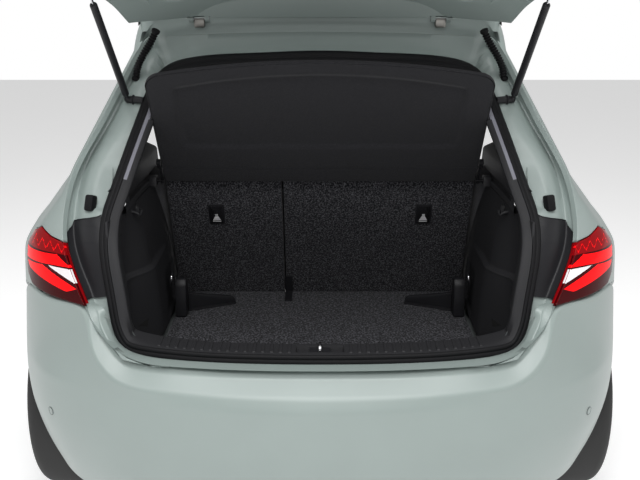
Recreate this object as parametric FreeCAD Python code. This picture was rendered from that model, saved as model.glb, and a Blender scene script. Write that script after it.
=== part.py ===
import FreeCAD
import Part
import math
import os

# Rear body section of a small hatchback, open tailgate, luggage space, axle and wheels.
# Lengths are in millimetres. X points to the car's right, +Y forward and +Z up.
# Heights are worked out from the road, and the frame's origin is on the front cut face.

# Overall sizes
BODY_WIDTH = 1780.0
SECTION_DEPTH = 1155.0
ROOF_HEIGHT = 1460.0
MOUNT_HEIGHT = 330.0
OVERRUN = 20.0
FIT = 0.3
PANEL_GAP = 4.0
SEAM = 1.5

HALF_WIDTH = BODY_WIDTH / 2
HALF = 0.5
CAP_SHARE = 0.9
FULL_TURN = 360.0
ENVELOPES = {}

# Body skin: plan curve from the side to the centre of the tail, shares of half width and reach
PLAN_SHARES = [(1.0, 0.0), (0.99, 0.3), (0.97, 0.45), (0.935, 0.58), (0.87, 0.716),
               (0.78, 0.812), (0.667, 0.888), (0.61, 0.922), (0.53, 0.955), (0.4, 0.979),
               (0.2, 0.995)]
# Body skin stations, shares of roof height, half width and section depth
STATION_SHARES = [(0.137, 0.94, 0.957), (0.233, 0.975, 0.957), (0.342, 0.995, 0.957),
                  (0.452, 1.0, 0.957), (0.521, 0.997, 0.944), (0.58, 0.991, 0.928),
                  (0.635, 0.961, 0.905), (0.678, 0.925, 0.868), (0.724, 0.888, 0.818),
                  (0.788, 0.831, 0.74), (0.842, 0.787, 0.671), (0.895, 0.73, 0.606),
                  (0.932, 0.68, 0.558), (0.973, 0.596, 0.502), (1.014, 0.506, 0.45)]
# Flat sides above the wheels, drawn in from the plan curve: shares of roof height and half
# width at the front cut. They close in on each other towards the tail.
WAIST_SHARES = [(0.0, 1.1), (0.52, 1.08), (0.587, 0.98), (0.68, 0.8615), (0.724, 0.827),
                (0.914, 0.647), (0.95, 0.642), (1.03, 0.64)]
WAIST_TAPER_SHARE = 0.115
# Roof crown: shares of section depth, roof height and edge drop
ROOF_SHARES = [(-0.1, 1.0, 1.0), (0.17, 0.998, 0.8), (0.35, 0.987, 0.5), (0.54, 0.967, 0.4),
               (0.8, 0.9, 0.4)]
ROOF_EDGE_DROP = 85.0
ROOF_CAP_HALF = 760.0

WALL_DEPTH = 75.0
GUTTER_DEPTH = 55.0
ROOF_CUT = 200.0
ROOF_SPLIT_HALF = 500.0
ROOF_SPLIT_HEIGHT = 1330.0
ROOF_REAR_EDGE = 496.0
SILL_BOTTOM = 210.0

# Tailgate outline seen from behind, shares of half width and roof height
OUTLINE_SHARES = [(0.0, 0.442), (0.2, 0.442), (0.393, 0.443), (0.506, 0.449), (0.579, 0.469),
                  (0.624, 0.493), (0.657, 0.524), (0.697, 0.568), (0.725, 0.609),
                  (0.736, 0.651), (0.725, 0.724), (0.669, 0.788), (0.624, 0.842),
                  (0.596, 0.877), (0.567, 0.914), (0.522, 0.945), (0.449, 0.966),
                  (0.36, 0.99), (0.2, 1.0), (0.0, 1.0)]
TAILGATE_GAP = 6.0

# Seal outline seen from behind, shares of half width and roof height
SEAL_SHARES = [(0.0, 0.4384), (0.18, 0.4384), (0.337, 0.439), (0.494, 0.442), (0.551, 0.449),
               (0.576, 0.469), (0.599, 0.525), (0.618, 0.582), (0.627, 0.62), (0.625, 0.66),
               (0.611, 0.69), (0.575, 0.762), (0.542, 0.825), (0.517, 0.863), (0.473, 0.89),
               (0.404, 0.9055), (0.2, 0.917), (0.0, 0.921)]
SEAL_WIDTH = 24.0
SEAL_PROUD = 12.0

# Rear door opening seen from the side, shares of section depth and roof height
DOOR_SHARES = [(0.208, 0.932), (0.286, 0.651), (0.312, 0.548), (0.303, 0.507), (0.26, 0.466),
               (0.19, 0.411), (0.113, 0.342), (0.052, 0.288), (0.017, 0.247), (-0.1, 0.247),
               (-0.1, 0.932)]

# Wheels and arches
AXLE_BACK = 440.0
AXLE_HEIGHT = 300.0
ARCH_RADIUS = 335.0
WHEEL_CENTRE = 735.0
TYRE_RADIUS = 300.0
TYRE_WIDTH = 205.0
RIM_RADIUS = 208.0
RIM_WALL = 8.0
RIM_RECESS = 16.0
TYRE_SHOULDER = 30.0
HUB_RADIUS = 74.0
SPINDLE_RADIUS = 27.5
RUNNING_CLEARANCE = 0.05
DRUM_RADIUS = 122.0
DRUM_INNER = 590.0
DRUM_OUTER = 655.0
DRUM_GAP = 6.0
SPOKE_COUNT = 5
SPOKE_WIDTH = 30.0
SPOKE_DEPTH = 30.0
SPOKE_LEAN = 14.0

# Wheelhouses and floor
WHEELHOUSE_INNER = 475.0
WHEELHOUSE_WALL = 12.0
WHEELHOUSE_GAP = 3.0
WHEELHOUSE_FLOOR = 330.0
FLOOR_TOP = 400.0
FLOOR_SHEET = 15.0
RAIL_INNER = 395.0
RAIL_FRONT = 200.0
RAIL_STEP = 297.0
RAIL_BOTTOM = 335.0
HEEL_BACK = 252.0
HEEL_THICKNESS = 30.0
HEEL_TOP = 512.0
CROSS_MEMBER_DEPTH = 85.0
CROSS_MEMBER_BOTTOM = 262.0
FLOOR_REAR = 1045.0
BOARD_TOP = 550.0
BOARD_THICKNESS = 15.0
BOARD_FRONT = 290.0
BOARD_GAP = 2.0
# Boot floor board, right half from front to rear, shares of half width and section depth
BOARD_SHARES = [(0.49, 0.251), (0.49, 0.58), (0.535, 0.64), (0.575, 0.668), (0.575, 0.78),
                (0.555, 0.8268)]
BACK_PANEL_DEPTH = 72.0
BACK_PANEL_BOTTOM = 365.0
BACK_PANEL_FRONT = 700.0
BEAM_HALF = 480.0
CRASH_BEAM_LOW = 450.0
CRASH_BEAM_HIGH = 530.0
CRASH_BEAM_BACK = 1150.0
CRASH_BEAM_FRONT = 1030.0

# Rear bumper: lip, shelf crease, side crease, belly and hem, shares of width, depth, height
BUMPER_SHARES = [
    ((0.0, 0.9216, 0.437), (0.0, 0.987, 0.403), (0.0, 1.0, 0.385), (0.0, 1.0, 0.288),
     (0.0, 0.952, 0.164)),
    ((0.281, 0.916, 0.4375), (0.281, 0.9775, 0.4035), (0.281, 0.986, 0.385),
     (0.281, 0.986, 0.288), (0.281, 0.939, 0.164)),
    ((0.449, 0.9026, 0.441), (0.427, 0.963, 0.4055), (0.449, 0.962, 0.384),
     (0.449, 0.962, 0.288), (0.438, 0.915, 0.164)),
    ((0.545, 0.8766, 0.449), (0.539, 0.941, 0.413), (0.584, 0.924, 0.3835),
     (0.584, 0.924, 0.288), (0.562, 0.879, 0.164)),
    ((0.581, 0.857, 0.479), (0.602, 0.912, 0.435), (0.685, 0.878, 0.383),
     (0.685, 0.878, 0.288), (0.652, 0.8355, 0.164)),
    ((0.598, 0.8416, 0.503), (0.635, 0.881, 0.4725), (0.758, 0.832, 0.382),
     (0.758, 0.833, 0.288), (0.719, 0.792, 0.164)),
    ((0.614, 0.8295, 0.519), (0.668, 0.837, 0.516), (0.8145, 0.783, 0.3815),
     (0.8145, 0.784, 0.288), (0.77, 0.743, 0.164)),
    ((0.722, 0.745, 0.515), (0.764, 0.777, 0.515), (0.8596, 0.726, 0.381),
     (0.8596, 0.728, 0.288), (0.809, 0.69, 0.164)),
    ((0.826, 0.654, 0.512), (0.865, 0.675, 0.512), (0.905, 0.65, 0.381),
     (0.905, 0.65, 0.288), (0.85, 0.63, 0.171)),
    ((0.91, 0.519, 0.449), (0.948, 0.519, 0.449), (0.957, 0.519, 0.381),
     (0.957, 0.519, 0.288), (0.915, 0.519, 0.171))]
LIP_SHARE = 0.36
LIP_DROP_SHARE = 0.08
STEP_SHARE = 0.42
STEP_DROP_SHARE = 0.32
BUMPER_WALL = 22.0
BUMPER_SHELF_WALL = 14.0
# Lower edge of the quarter panel over the bumper, shares of half width and roof height
BUMPER_CUT_SHARES = [(0.0, 0.05), (0.0, 0.47), (0.54, 0.52), (0.665, 0.516), (0.764, 0.515),
                     (0.865, 0.512), (0.948, 0.449), (1.08, 0.38), (1.08, 0.05)]
BUMPER_CUT_FRONT = 520.0
VALANCE_HALF = 420.0
VALANCE_TOP = 239.1
VALANCE_BOTTOM = 202.0
VALANCE_BACK = 1110.0
VALANCE_DEPTH = 150.0
VALANCE_SLOPE = 50.0
VALANCE_FLANGE = 100.0
VALANCE_INSET = 14.0

# Tail lamps seen from behind, shares of half width and roof height
LAMP_SHARES = [(0.816, 0.626), (0.729, 0.609), (0.666, 0.523), (0.76, 0.5205), (0.865, 0.519),
               (0.884, 0.553), (0.884, 0.587)]
LAMP_PROUD = 2.0
LAMP_DEPTH = 60.0
LAMP_FRONT = 600.0
COVER_SHARES = [(0.636, 0.652), (0.671, 0.6465), (0.727, 0.6226), (0.695, 0.568),
                (0.654, 0.5275), (0.612, 0.5275), (0.632, 0.58), (0.636, 0.62)]
COVER_THICKNESS = 3.0
BUMP_STOP_X = 584.0
BUMP_STOP_HEIGHT = 976.0
BUMP_STOP_RADIUS = 11.0
BUMP_STOP_LENGTH = 20.0

# Tailgate
HINGE_BACK = 507.0
HINGE_HEIGHT = 1421.0
HINGE_X = 330.0
HINGE_PIN_RADIUS = 4.0
HINGE_EYE_RADIUS = 8.0
HINGE_BLOCK_WIDTH = 30.0
HINGE_LEAF_WIDTH = 12.0
HINGE_SIDE_GAP = 0.3
HINGE_NOTCH = 22.0
OPEN_ANGLE = 84.0
TAILGATE_FRONT = 515.0
TAILGATE_SKIN = 16.0
TAILGATE_DEPTH = 37.0
TAILGATE_TRIM = 4.0
TAILGATE_DEEP_MARGIN = 6.0
WINDOW_SHARES = [(0.0, 0.683), (0.15, 0.683), (0.3, 0.683), (0.42, 0.6835), (0.5, 0.686),
                 (0.545, 0.692), (0.572, 0.704), (0.583, 0.722), (0.58, 0.745), (0.562, 0.78),
                 (0.53, 0.833), (0.505, 0.87), (0.478, 0.905), (0.44, 0.924), (0.38, 0.935),
                 (0.28, 0.94), (0.15, 0.942), (0.0, 0.9425)]
GLASS_PROUD_SHARE = 0.1
GLASS_THICKNESS = 6.0
GLASS_INSET = 0.3
TRIM_MARGIN = 12.0
PLATE_HALF = 265.0
PLATE_LOW = 735.0
PLATE_HIGH = 860.0
PLATE_DEPTH = 12.0
INNER_LAMP_SHARES = [(0.44, 0.592), (0.43, 0.54), (0.47, 0.53), (0.655, 0.533),
                     (0.705, 0.602)]
INNER_LAMP_DEPTH = 14.0
SPOILER_HALF = 470.0
SPOILER_TIP_HALF = 440.0
SPOILER_FRONT = 546.0
SPOILER_BACK = 725.0
SPOILER_EDGE = 1362.0
SPOILER_UNDER = 640.0
SPOILER_LOW = 1342.0
SPOILER_RISE = 4.0
WIPER_HEIGHT = 1018.0
WIPER_HUB_RADIUS = 22.0
WIPER_HUB_LENGTH = 26.0
WIPER_ARM_LENGTH = 300.0
WIPER_ARM_WIDTH = 16.0
WIPER_ARM_DEPTH = 9.0

# Gas struts: lower ball on the body, upper ball on the tailgate when it is shut
STRUT_LOW_X = 520.0
STRUT_LOW_BACK = 605.0
STRUT_LOW_HEIGHT = 1217.0
STRUT_TOP_X = 575.0
STRUT_TOP_BACK = 860.0
STRUT_TOP_HEIGHT = 957.7
STRUT_RADIUS = 9.5
STRUT_ROD_RADIUS = 3.5
STRUT_EYE_RADIUS = 9.0
STRUT_EYE_WIDTH = 10.0
STRUT_PIN_RADIUS = 4.0
STRUT_OPEN_CLEARANCE = 2.0
STRUT_ROD_EYE_WIDTH = 7.0
STRUT_OPEN_GAP = 2.5
STRUT_POST_RADIUS = 7.0
STRUT_NECK = 18.0
STRUT_TUBE_CLEARANCE = 32.0
STRUT_ROD_CLEARANCE = 25.0
STRUT_BOSS = 8.0
STRUT_BOSS_RADIUS = 10.0
STRUT_POST_LENGTH = 34.0

# Interior trims. Side trim walls, right half from front to rear at three heights
TRIM_LOW_SHARES = [(0.5146, 0.25), (0.5, 0.39), (0.5, 0.571), (0.562, 0.641), (0.5955, 0.667),
                   (0.5955, 0.78), (0.579, 0.83), (0.571, 0.868)]
TRIM_MIDDLE_SHARES = [(0.519, 0.25), (0.508, 0.39), (0.511, 0.571), (0.562, 0.632),
                      (0.584, 0.658), (0.584, 0.765), (0.579, 0.8), (0.575, 0.83)]
TRIM_TOP_SHARES = [(0.537, 0.25), (0.545, 0.39), (0.551, 0.571), (0.562, 0.632),
                   (0.567, 0.664), (0.579, 0.72), (0.584, 0.745), (0.588, 0.762)]
TRIM_BOTTOM_HEIGHT = 535.0
TRIM_MIDDLE_HEIGHT = 700.0
TRIM_TOP_HEIGHT = 950.0
TRIM_WALL = 8.0
LEDGE_THICKNESS = 10.0
PILLAR_TRIM = 12.0
PILLAR_TRIM_TOP = 1312.0
PILLAR_TRIM_FRONT = 230.0
HEADLINER = 10.0
HEADLINER_BOTTOM = 1318.0
SILL_TRIM_TOP = 664.0
SILL_TRIM_SHEET = 11.5
SILL_TRIM_DEPTH = 61.0
SILL_TRIM_INNER = 970.0
SILL_TRIM_WALL = 10.0
SILL_TRIM_HALF = 490.0
SILL_WALL_HALF = 450.0
SILL_RIB_COUNT = 38
SILL_RIB_PITCH = 21.5
SILL_RIB_WIDTH = 8.0
SILL_RIB_HEIGHT = 2.0
SILL_RIB_LENGTH = 46.0
STRIKER_BACK = 1014.0
STRIKER_HALF = 16.0
STRIKER_RADIUS = 4.0
STRIKER_RISE = 14.0
STRIKER_PLATE_HALF = 26.0
STRIKER_PLATE_LENGTH = 24.0
STRIKER_PLATE_DEPTH = 34.0
STRIKER_PLATE = 3.0
STRIKER_RECESS_HALF = 58.0
STRIKER_RECESS_DEPTH = 5.0

# Rear seat backs
BACK_PIVOT_BACK = 242.9
BACK_PIVOT_HEIGHT = 571.8
BACK_LEAN = 25.0
BACK_THICKNESS = 90.0
BACK_TOP_THICKNESS = 74.0
BACK_LENGTH = 485.0
BACK_HALF = 450.0
BACK_SPLIT = 110.0
BACK_SPLIT_GAP = 6.0
BACK_NOTCH = 8.0
BACK_NOTCH_HIGH = 60.0
CENTRE_PLATE = 5.0
CENTRE_PLATE_HALF = 25.0
CENTRE_PLATE_TOP = 610.0
CENTRE_PIN_REACH = 7.6
BACK_BRACKET_GAP = 6.0
BACK_BRACKET_HALF = 28.0
BACK_BRACKET_TOP = 606.0
BACK_TOP_RADIUS = 22.0
BACK_PIN_RADIUS = 8.0
BACK_PIN_LENGTH = 26.0
TETHER_X = 310.0
TETHER_ALONG = 368.0
TETHER_WIDTH = 47.0
TETHER_LENGTH = 74.0
TETHER_PROUD = 4.0
HEADREST_WIDTH = 250.0
HEADREST_HEIGHT = 130.0
HEADREST_DEPTH = 80.0
HEADREST_RISE = 40.0
HEADREST_X = 275.0
HEADREST_POST = 6.0
HEADREST_POST_HALF = 70.0
HEADREST_ROUND = 24.0
HINGE_STRAP_WIDTH = 22.0
HINGE_STRAP_SHEET = 4.0
HINGE_STRAP_GAP = 6.0
HINGE_STRAP_FOOT = 70.0

# Cargo brackets, eyes and hooks
CARGO_POST_X = 398.0
CARGO_POST_BACK = 518.0
CARGO_POST_HEIGHT = 118.0
CARGO_POST_WIDTH = 34.0
CARGO_POST_DEPTH = 60.0
CARGO_LEG_REACH = 142.0
CARGO_LEG_TURN = 56.0
CARGO_LEG_HIGH = 56.0
CARGO_LEG_LOW = 23.0
CARGO_LEG_WIDTH = 16.0
EYE_RADIUS = 17.0
EYE_WIRE = 4.0
EYE_X = 436.0
EYE_BACK = 425.0
EYE_PLATE = 3.0
HOOK_WIDTH = 16.0
HOOK_REACH = 26.0
HOOK_DROP = 34.0
HOOK_THICKNESS = 8.0
HOOK_BACK = 706.0
HOOK_HEIGHT = 942.0

# Parcel shelf
SHELF_BACK = 490.0
SHELF_HEIGHT = 965.0
SHELF_HALF = 464.0
SHELF_SIDE_LENGTH = 416.0
SHELF_LENGTH = 469.0
SHELF_CORNER = 46.0
SHELF_THICKNESS = 12.0
SHELF_ANGLE = 52.4
SHELF_RECESS_START = 138.0
SHELF_RECESS_END = 415.0
SHELF_RECESS_HALF = 400.0
SHELF_RECESS_DEPTH = 4.0
SHELF_PIN_RADIUS = 5.0
SHELF_PIN_LENGTH = 26.0
SHELF_LUG_GAP = 6.0
SHELF_LUG_WIDTH = 24.0
SHELF_LUG_HALF = 16.0
SHELF_LUG_RISE = 14.0
SHELF_REAR_HALF = 451.0

# Chassis
BUSH_BACK = 135.0
BUSH_HEIGHT = 285.0
BUSH_RADIUS = 28.0
BUSH_HALF = 30.0
BUSH_PLATE = 5.0
BUSH_PLATE_HALF = 32.0
BUSH_PLATE_BOTTOM = 250.0
ARM_X = 430.0
ARM_WIDTH = 52.0
ARM_HEIGHT = 60.0
ARM_TAIL = 30.0
STUB_RADIUS = 25.0
BEAM_BACK = 250.0
BEAM_TOP = 318.0
BEAM_DROP = 92.0
BEAM_SPREAD = 52.0
BEAM_WALL = 9.0
SPRING_X = 540.0
SPRING_BACK = 545.0
SPRING_RADIUS = 40.0
SPRING_WIRE = 6.5
SPRING_TURNS = 4.0
SPRING_SEAT = 12.0
SPRING_SEAT_HALF = 52.0
SPRING_LOW = 262.0
SPRING_HIGH = 500.0
DAMPER_X = 560.0
DAMPER_BACK = 345.0
DAMPER_LOW = 262.0
DAMPER_JOIN = 440.0
DAMPER_RADIUS = 22.0
DAMPER_ROD_RADIUS = 9.0
SILENCER_X = 190.0
SILENCER_LENGTH = 400.0
SILENCER_WIDTH = 170.0
SILENCER_HEIGHT = 110.0
SILENCER_BACK = 985.0
SILENCER_BOTTOM = 250.0
SILENCER_ROUND = 40.0
HANGER_WIDTH = 20.0
GAITER_X = 505.0
GAITER_HEIGHT = 1250.0
GAITER_RADIUS = 11.0
GAITER_LENGTH = 24.0


def vec(x, y, z):
    return FreeCAD.Vector(x, y, z)


def box(x0, x1, y0, y1, z0, z1):
    return Part.makeBox(x1 - x0, y1 - y0, z1 - z0, vec(x0, y0, z0))


def bar(start, end, radius):
    return Part.makeCylinder(radius, (end - start).Length, start, end - start)


def mirrored(shape):
    return shape.mirror(vec(0, 0, 0), vec(1, 0, 0))


def both(shape):
    return Part.makeCompound([shape, mirrored(shape)])


def polygon(points):
    return Part.makePolygon(points + [points[0]])


def smooth_loop(points):
    curve = Part.BSplineCurve()
    curve.interpolate(Points=points, PeriodicFlag=True)
    return Part.Wire([curve.toShape()])


def extruded(wire, direction):
    return Part.Face(wire).extrude(direction)


def side_prism(points, x0, x1):
    wire = polygon([vec(x0, y, z) for y, z in points])
    return extruded(wire, vec(x1 - x0, 0, 0))


def plan_prism(points, z0, z1):
    wire = polygon([vec(x, y, z0) for x, y in points])
    return extruded(wire, vec(0, 0, z1 - z0))


def rear_prism(points, y0, y1, smooth=False):
    places = [vec(x, y0, z) for x, z in points]
    wire = smooth_loop(places) if smooth else polygon(places)
    return extruded(wire, vec(0, y1 - y0, 0))


def closed_outline(shares):
    half = [(x * HALF_WIDTH, z * ROOF_HEIGHT) for x, z in shares]
    left = [(-x, z) for x, z in reversed(half) if x > 0]
    return half + left


def grown(points, distance):
    # Each point moves along its outward normal; the outlines run anticlockwise from below.
    result = []
    count = len(points)
    for index in range(count):
        before = points[index - 1]
        after = points[(index + 1) % count]
        dx = after[0] - before[0]
        dz = after[1] - before[1]
        length = math.hypot(dx, dz)
        result.append((points[index][0] + distance * dz / length,
                       points[index][1] - distance * dx / length))
    return result


def slope_factor(stations, index, column, size):
    low = max(index - 1, 0)
    high = min(index + 1, len(stations) - 1)
    rise = (stations[high][0] - stations[low][0]) * ROOF_HEIGHT
    run = (stations[high][column] - stations[low][column]) * size
    return math.hypot(rise, run) / rise


def plan_wire(half, reach, height):
    right = [vec(x * half, -y * reach, height) for x, y in PLAN_SHARES]
    left = [vec(-p.x, p.y, p.z) for p in reversed(right)]
    start = vec(half, OVERRUN, height)
    end = vec(-half, OVERRUN, height)
    places = [start] + right + [vec(0, -reach, height)] + left + [end]
    curve = Part.BSplineCurve()
    curve.interpolate(Points=places)
    return Part.Wire([curve.toShape(), Part.makeLine(end, start)])


def roof_cap(inset):
    wires = []
    for back, height, drop in ROOF_SHARES:
        y = -back * SECTION_DEPTH
        crown = height * ROOF_HEIGHT - inset
        edge = crown - drop * ROOF_EDGE_DROP
        left = vec(-ROOF_CAP_HALF, y, edge)
        top = vec(0, y, crown)
        right = vec(ROOF_CAP_HALF, y, edge)
        low_right = vec(ROOF_CAP_HALF, y, 0)
        low_left = vec(-ROOF_CAP_HALF, y, 0)
        arc = Part.Arc(left, top, right).toShape()
        rest = [Part.makeLine(right, low_right), Part.makeLine(low_right, low_left),
                Part.makeLine(low_left, left)]
        wires.append(Part.Wire([arc] + rest))
    return Part.makeLoft(wires, True, False)


def wide_cap(inset):
    # The roof cap reaches over the full body width below the crown's edge.
    cap = roof_cap(inset)
    low = HALF_WIDTH + OVERRUN
    lower = box(-low, low, -SECTION_DEPTH - OVERRUN, OVERRUN, 0, ROOF_SPLIT_HEIGHT * CAP_SHARE)
    return cap.fuse(lower)


def waist(inset):
    wires = []
    far = SECTION_DEPTH + OVERRUN
    for index, (height, half) in enumerate(WAIST_SHARES):
        x = half * HALF_WIDTH - inset * slope_factor(WAIST_SHARES, index, 1, HALF_WIDTH)
        z = height * ROOF_HEIGHT
        front = x + WAIST_TAPER_SHARE * OVERRUN
        rear = x - WAIST_TAPER_SHARE * far
        wires.append(polygon([vec(front, OVERRUN, z), vec(rear, -far, z), vec(-rear, -far, z),
                              vec(-front, OVERRUN, z)]))
    return Part.makeLoft(wires, True, True)


def envelope(inset):
    if inset not in ENVELOPES:
        ENVELOPES[inset] = make_envelope(inset)
    return ENVELOPES[inset]


def make_envelope(inset):
    wires = []
    for index, (height, half, reach) in enumerate(STATION_SHARES):
        half_inset = inset * slope_factor(STATION_SHARES, index, 1, HALF_WIDTH)
        reach_inset = inset * slope_factor(STATION_SHARES, index, 2, SECTION_DEPTH)
        wires.append(plan_wire(half * HALF_WIDTH - half_inset,
                               reach * SECTION_DEPTH - reach_inset, height * ROOF_HEIGHT))
    skin = Part.makeLoft(wires, True, False)
    return skin.common(wide_cap(inset).common(waist(inset)))


def band(outer, inner, zone):
    # The part of the skin inside a zone, between two depths below the painted surface.
    return envelope(outer).common(zone).cut(envelope(inner))


def largest(shape):
    return max(shape.Solids, key=lambda solid: solid.Volume)


def front_cut():
    # Everything ahead of the cut: the whole section at the floor, less of it at the roof.
    wide = HALF_WIDTH + OVERRUN
    face = box(-wide, wide, 0, OVERRUN + OVERRUN, 0, ROOF_HEIGHT + OVERRUN)
    points = [(-share * SECTION_DEPTH, height * ROOF_HEIGHT) for share, height in DOOR_SHARES]
    door = side_prism(points, -wide, wide)
    top = box(-wide, wide, -ROOF_CUT, OVERRUN, DOOR_SHARES[0][1] * ROOF_HEIGHT - OVERRUN,
              ROOF_HEIGHT + OVERRUN)
    return face.fuse(door).fuse(top)


def tail_prism(points, front):
    return rear_prism(points, -SECTION_DEPTH - OVERRUN, -front, True)


def arch_cutter():
    wide = HALF_WIDTH + OVERRUN
    arch = Part.makeCylinder(ARCH_RADIUS, wide + wide, vec(-wide, -AXLE_BACK, AXLE_HEIGHT),
                             vec(1, 0, 0))
    return arch.fuse(box(-wide, wide, -AXLE_BACK - ARCH_RADIUS, -AXLE_BACK + ARCH_RADIUS, 0,
                         AXLE_HEIGHT))


def make_body():
    outline = closed_outline(OUTLINE_SHARES)
    seal = closed_outline(SEAL_SHARES)
    wide = HALF_WIDTH + OVERRUN
    pocket = tail_prism(outline, ROOF_REAR_EDGE).cut(envelope(GUTTER_DEPTH))
    aperture = tail_prism(grown(seal, -SEAL_WIDTH * HALF), PILLAR_TRIM_FRONT)
    roof_zone = box(-ROOF_SPLIT_HALF, ROOF_SPLIT_HALF, -SECTION_DEPTH, -ROOF_CUT,
                    ROOF_SPLIT_HEIGHT, ROOF_HEIGHT + OVERRUN)
    roof = band(0, WALL_DEPTH, roof_zone).cut([pocket, aperture])
    side_zone = box(0, wide, -SECTION_DEPTH, 0, SILL_BOTTOM, ROOF_HEIGHT + OVERRUN)
    side_zone = side_zone.cut(roof_zone)
    points = [(x * HALF_WIDTH, z * ROOF_HEIGHT + PANEL_GAP) for x, z in BUMPER_CUT_SHARES]
    bumper_zone = rear_prism(points, -SECTION_DEPTH - OVERRUN, -BUMPER_CUT_FRONT)
    side_zone = side_zone.cut([front_cut(), arch_cutter(), bumper_zone])
    side = envelope(0).common(side_zone)
    side = side.cut([envelope(WALL_DEPTH), pocket, aperture,
                     lamp_zone(SEAM, LAMP_DEPTH + SEAM)])
    return largest(roof), largest(side)


def lamp_zone(margin, depth):
    points = [(x * HALF_WIDTH, z * ROOF_HEIGHT) for x, z in LAMP_SHARES]
    points = grown(points, margin)
    zone = rear_prism(points, -SECTION_DEPTH - OVERRUN, -LAMP_FRONT)
    return zone.cut(envelope(depth))


def make_tail_lamps():
    outline = closed_outline(OUTLINE_SHARES)
    lamp = lamp_zone(0, LAMP_DEPTH).common(envelope(-LAMP_PROUD))
    lamp = lamp.cut(tail_prism(grown(outline, SEAM), LAMP_FRONT))
    return both(lamp)


def skin_back(x, z, inset):
    line = Part.makeLine(vec(x, -SECTION_DEPTH - OVERRUN, z), vec(x, 0, z))
    return min(vertex.Y for vertex in line.common(envelope(inset)).Vertexes)


def hinge_parts(side):
    # A block on the roof edge holds the pin, and two leaves on the tailgate turn on it.
    x = side * HINGE_X
    half = HINGE_BLOCK_WIDTH * HALF
    pin_half = half + HINGE_LEAF_WIDTH
    block = box(x - half, x + half, -HINGE_BACK - HINGE_PIN_RADIUS, -ROOF_REAR_EDGE + HINGE_NOTCH,
                ROOF_SPLIT_HEIGHT + OVERRUN, HINGE_HEIGHT)
    block = block.fuse(Part.makeCylinder(HINGE_PIN_RADIUS, pin_half + pin_half,
                                         vec(x - pin_half, -HINGE_BACK, HINGE_HEIGHT),
                                         vec(1, 0, 0)))
    leaves = []
    for start in (x - pin_half, x + half + HINGE_SIDE_GAP):
        width = HINGE_LEAF_WIDTH - HINGE_SIDE_GAP
        eye = Part.makeCylinder(HINGE_EYE_RADIUS, width, vec(start, -HINGE_BACK, HINGE_HEIGHT),
                                vec(1, 0, 0))
        arm = box(start, start + width, -TAILGATE_FRONT - HINGE_NOTCH, -HINGE_BACK,
                  HINGE_HEIGHT - HINGE_EYE_RADIUS - HINGE_PIN_RADIUS, HINGE_HEIGHT)
        bore = Part.makeCylinder(HINGE_PIN_RADIUS + RUNNING_CLEARANCE, width + OVERRUN,
                                 vec(start - OVERRUN * HALF, -HINGE_BACK, HINGE_HEIGHT),
                                 vec(1, 0, 0))
        leaves.append(eye.fuse(arm).cut(bore))
    return block, leaves


def strut_frame():
    # The ball places and the axis of the strut's swing, with the tailgate open and shut.
    low = vec(STRUT_LOW_X, -STRUT_LOW_BACK, STRUT_LOW_HEIGHT)
    shut = vec(STRUT_TOP_X, -STRUT_TOP_BACK, STRUT_TOP_HEIGHT)
    opened = turned_point(shut, -OPEN_ANGLE)
    axis = (opened - low).cross(shut - low)
    axis.normalize()
    return low, shut, opened, axis


def turned_point(point, angle):
    hinge = vec(0, -HINGE_BACK, HINGE_HEIGHT)
    turn = FreeCAD.Rotation(vec(1, 0, 0), angle)
    return hinge + turn.multVec(point - hinge)


def opened_tailgate(shape):
    shape = shape.copy()
    shape.rotate(vec(0, -HINGE_BACK, HINGE_HEIGHT), vec(1, 0, 0), -OPEN_ANGLE)
    return shape


def pin_and_boss(centre, axis, eye_width, gap, inward):
    # The post stands square to the pin, so it stays clear of the eye.
    inward = inward - axis * inward.dot(axis)
    inward.normalize()
    near = eye_width * HALF + gap
    far = near + STRUT_BOSS
    boss = bar(centre - axis * far, centre - axis * near, STRUT_BOSS_RADIUS)
    pin = bar(centre - axis * far, centre + axis * near, STRUT_PIN_RADIUS)
    start = centre - axis * (near + STRUT_BOSS * HALF)
    post = bar(start, start + inward * STRUT_POST_LENGTH, STRUT_BOSS * HALF)
    return boss.fuse(pin).fuse(post)


def make_struts():
    low, shut, opened, axis = strut_frame()
    along = opened - low
    long = along.Length
    short = (shut - low).Length
    along.normalize()
    half = STRUT_EYE_WIDTH * HALF
    tube_end = short - STRUT_TUBE_CLEARANCE
    tube = bar(low + along * STRUT_NECK, low + along * tube_end, STRUT_RADIUS)
    neck = bar(low + along * STRUT_PIN_RADIUS * HALF, low + along * (STRUT_NECK + FIT),
               STRUT_POST_RADIUS * HALF)
    eye = bar(low - axis * half, low + axis * half, STRUT_EYE_RADIUS)
    tube = tube.fuse(neck).fuse(eye)
    tube = tube.cut(bar(low - axis * OVERRUN, low + axis * OVERRUN,
                        STRUT_PIN_RADIUS + RUNNING_CLEARANCE))
    tube = tube.cut(bar(low + along * (STRUT_NECK + STRUT_PIN_RADIUS),
                        low + along * (tube_end + OVERRUN),
                        STRUT_ROD_RADIUS + RUNNING_CLEARANCE))
    rod_start = long - short + STRUT_ROD_CLEARANCE
    rod = bar(low + along * rod_start, low + along * (long - STRUT_PIN_RADIUS * HALF),
              STRUT_ROD_RADIUS)
    eye_half = STRUT_ROD_EYE_WIDTH * HALF
    rod = rod.fuse(bar(opened - axis * eye_half, opened + axis * eye_half, STRUT_EYE_RADIUS))
    rod = rod.cut(bar(opened - axis * OVERRUN, opened + axis * OVERRUN,
                      STRUT_PIN_RADIUS + STRUT_OPEN_CLEARANCE))
    return tube, rod


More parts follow.
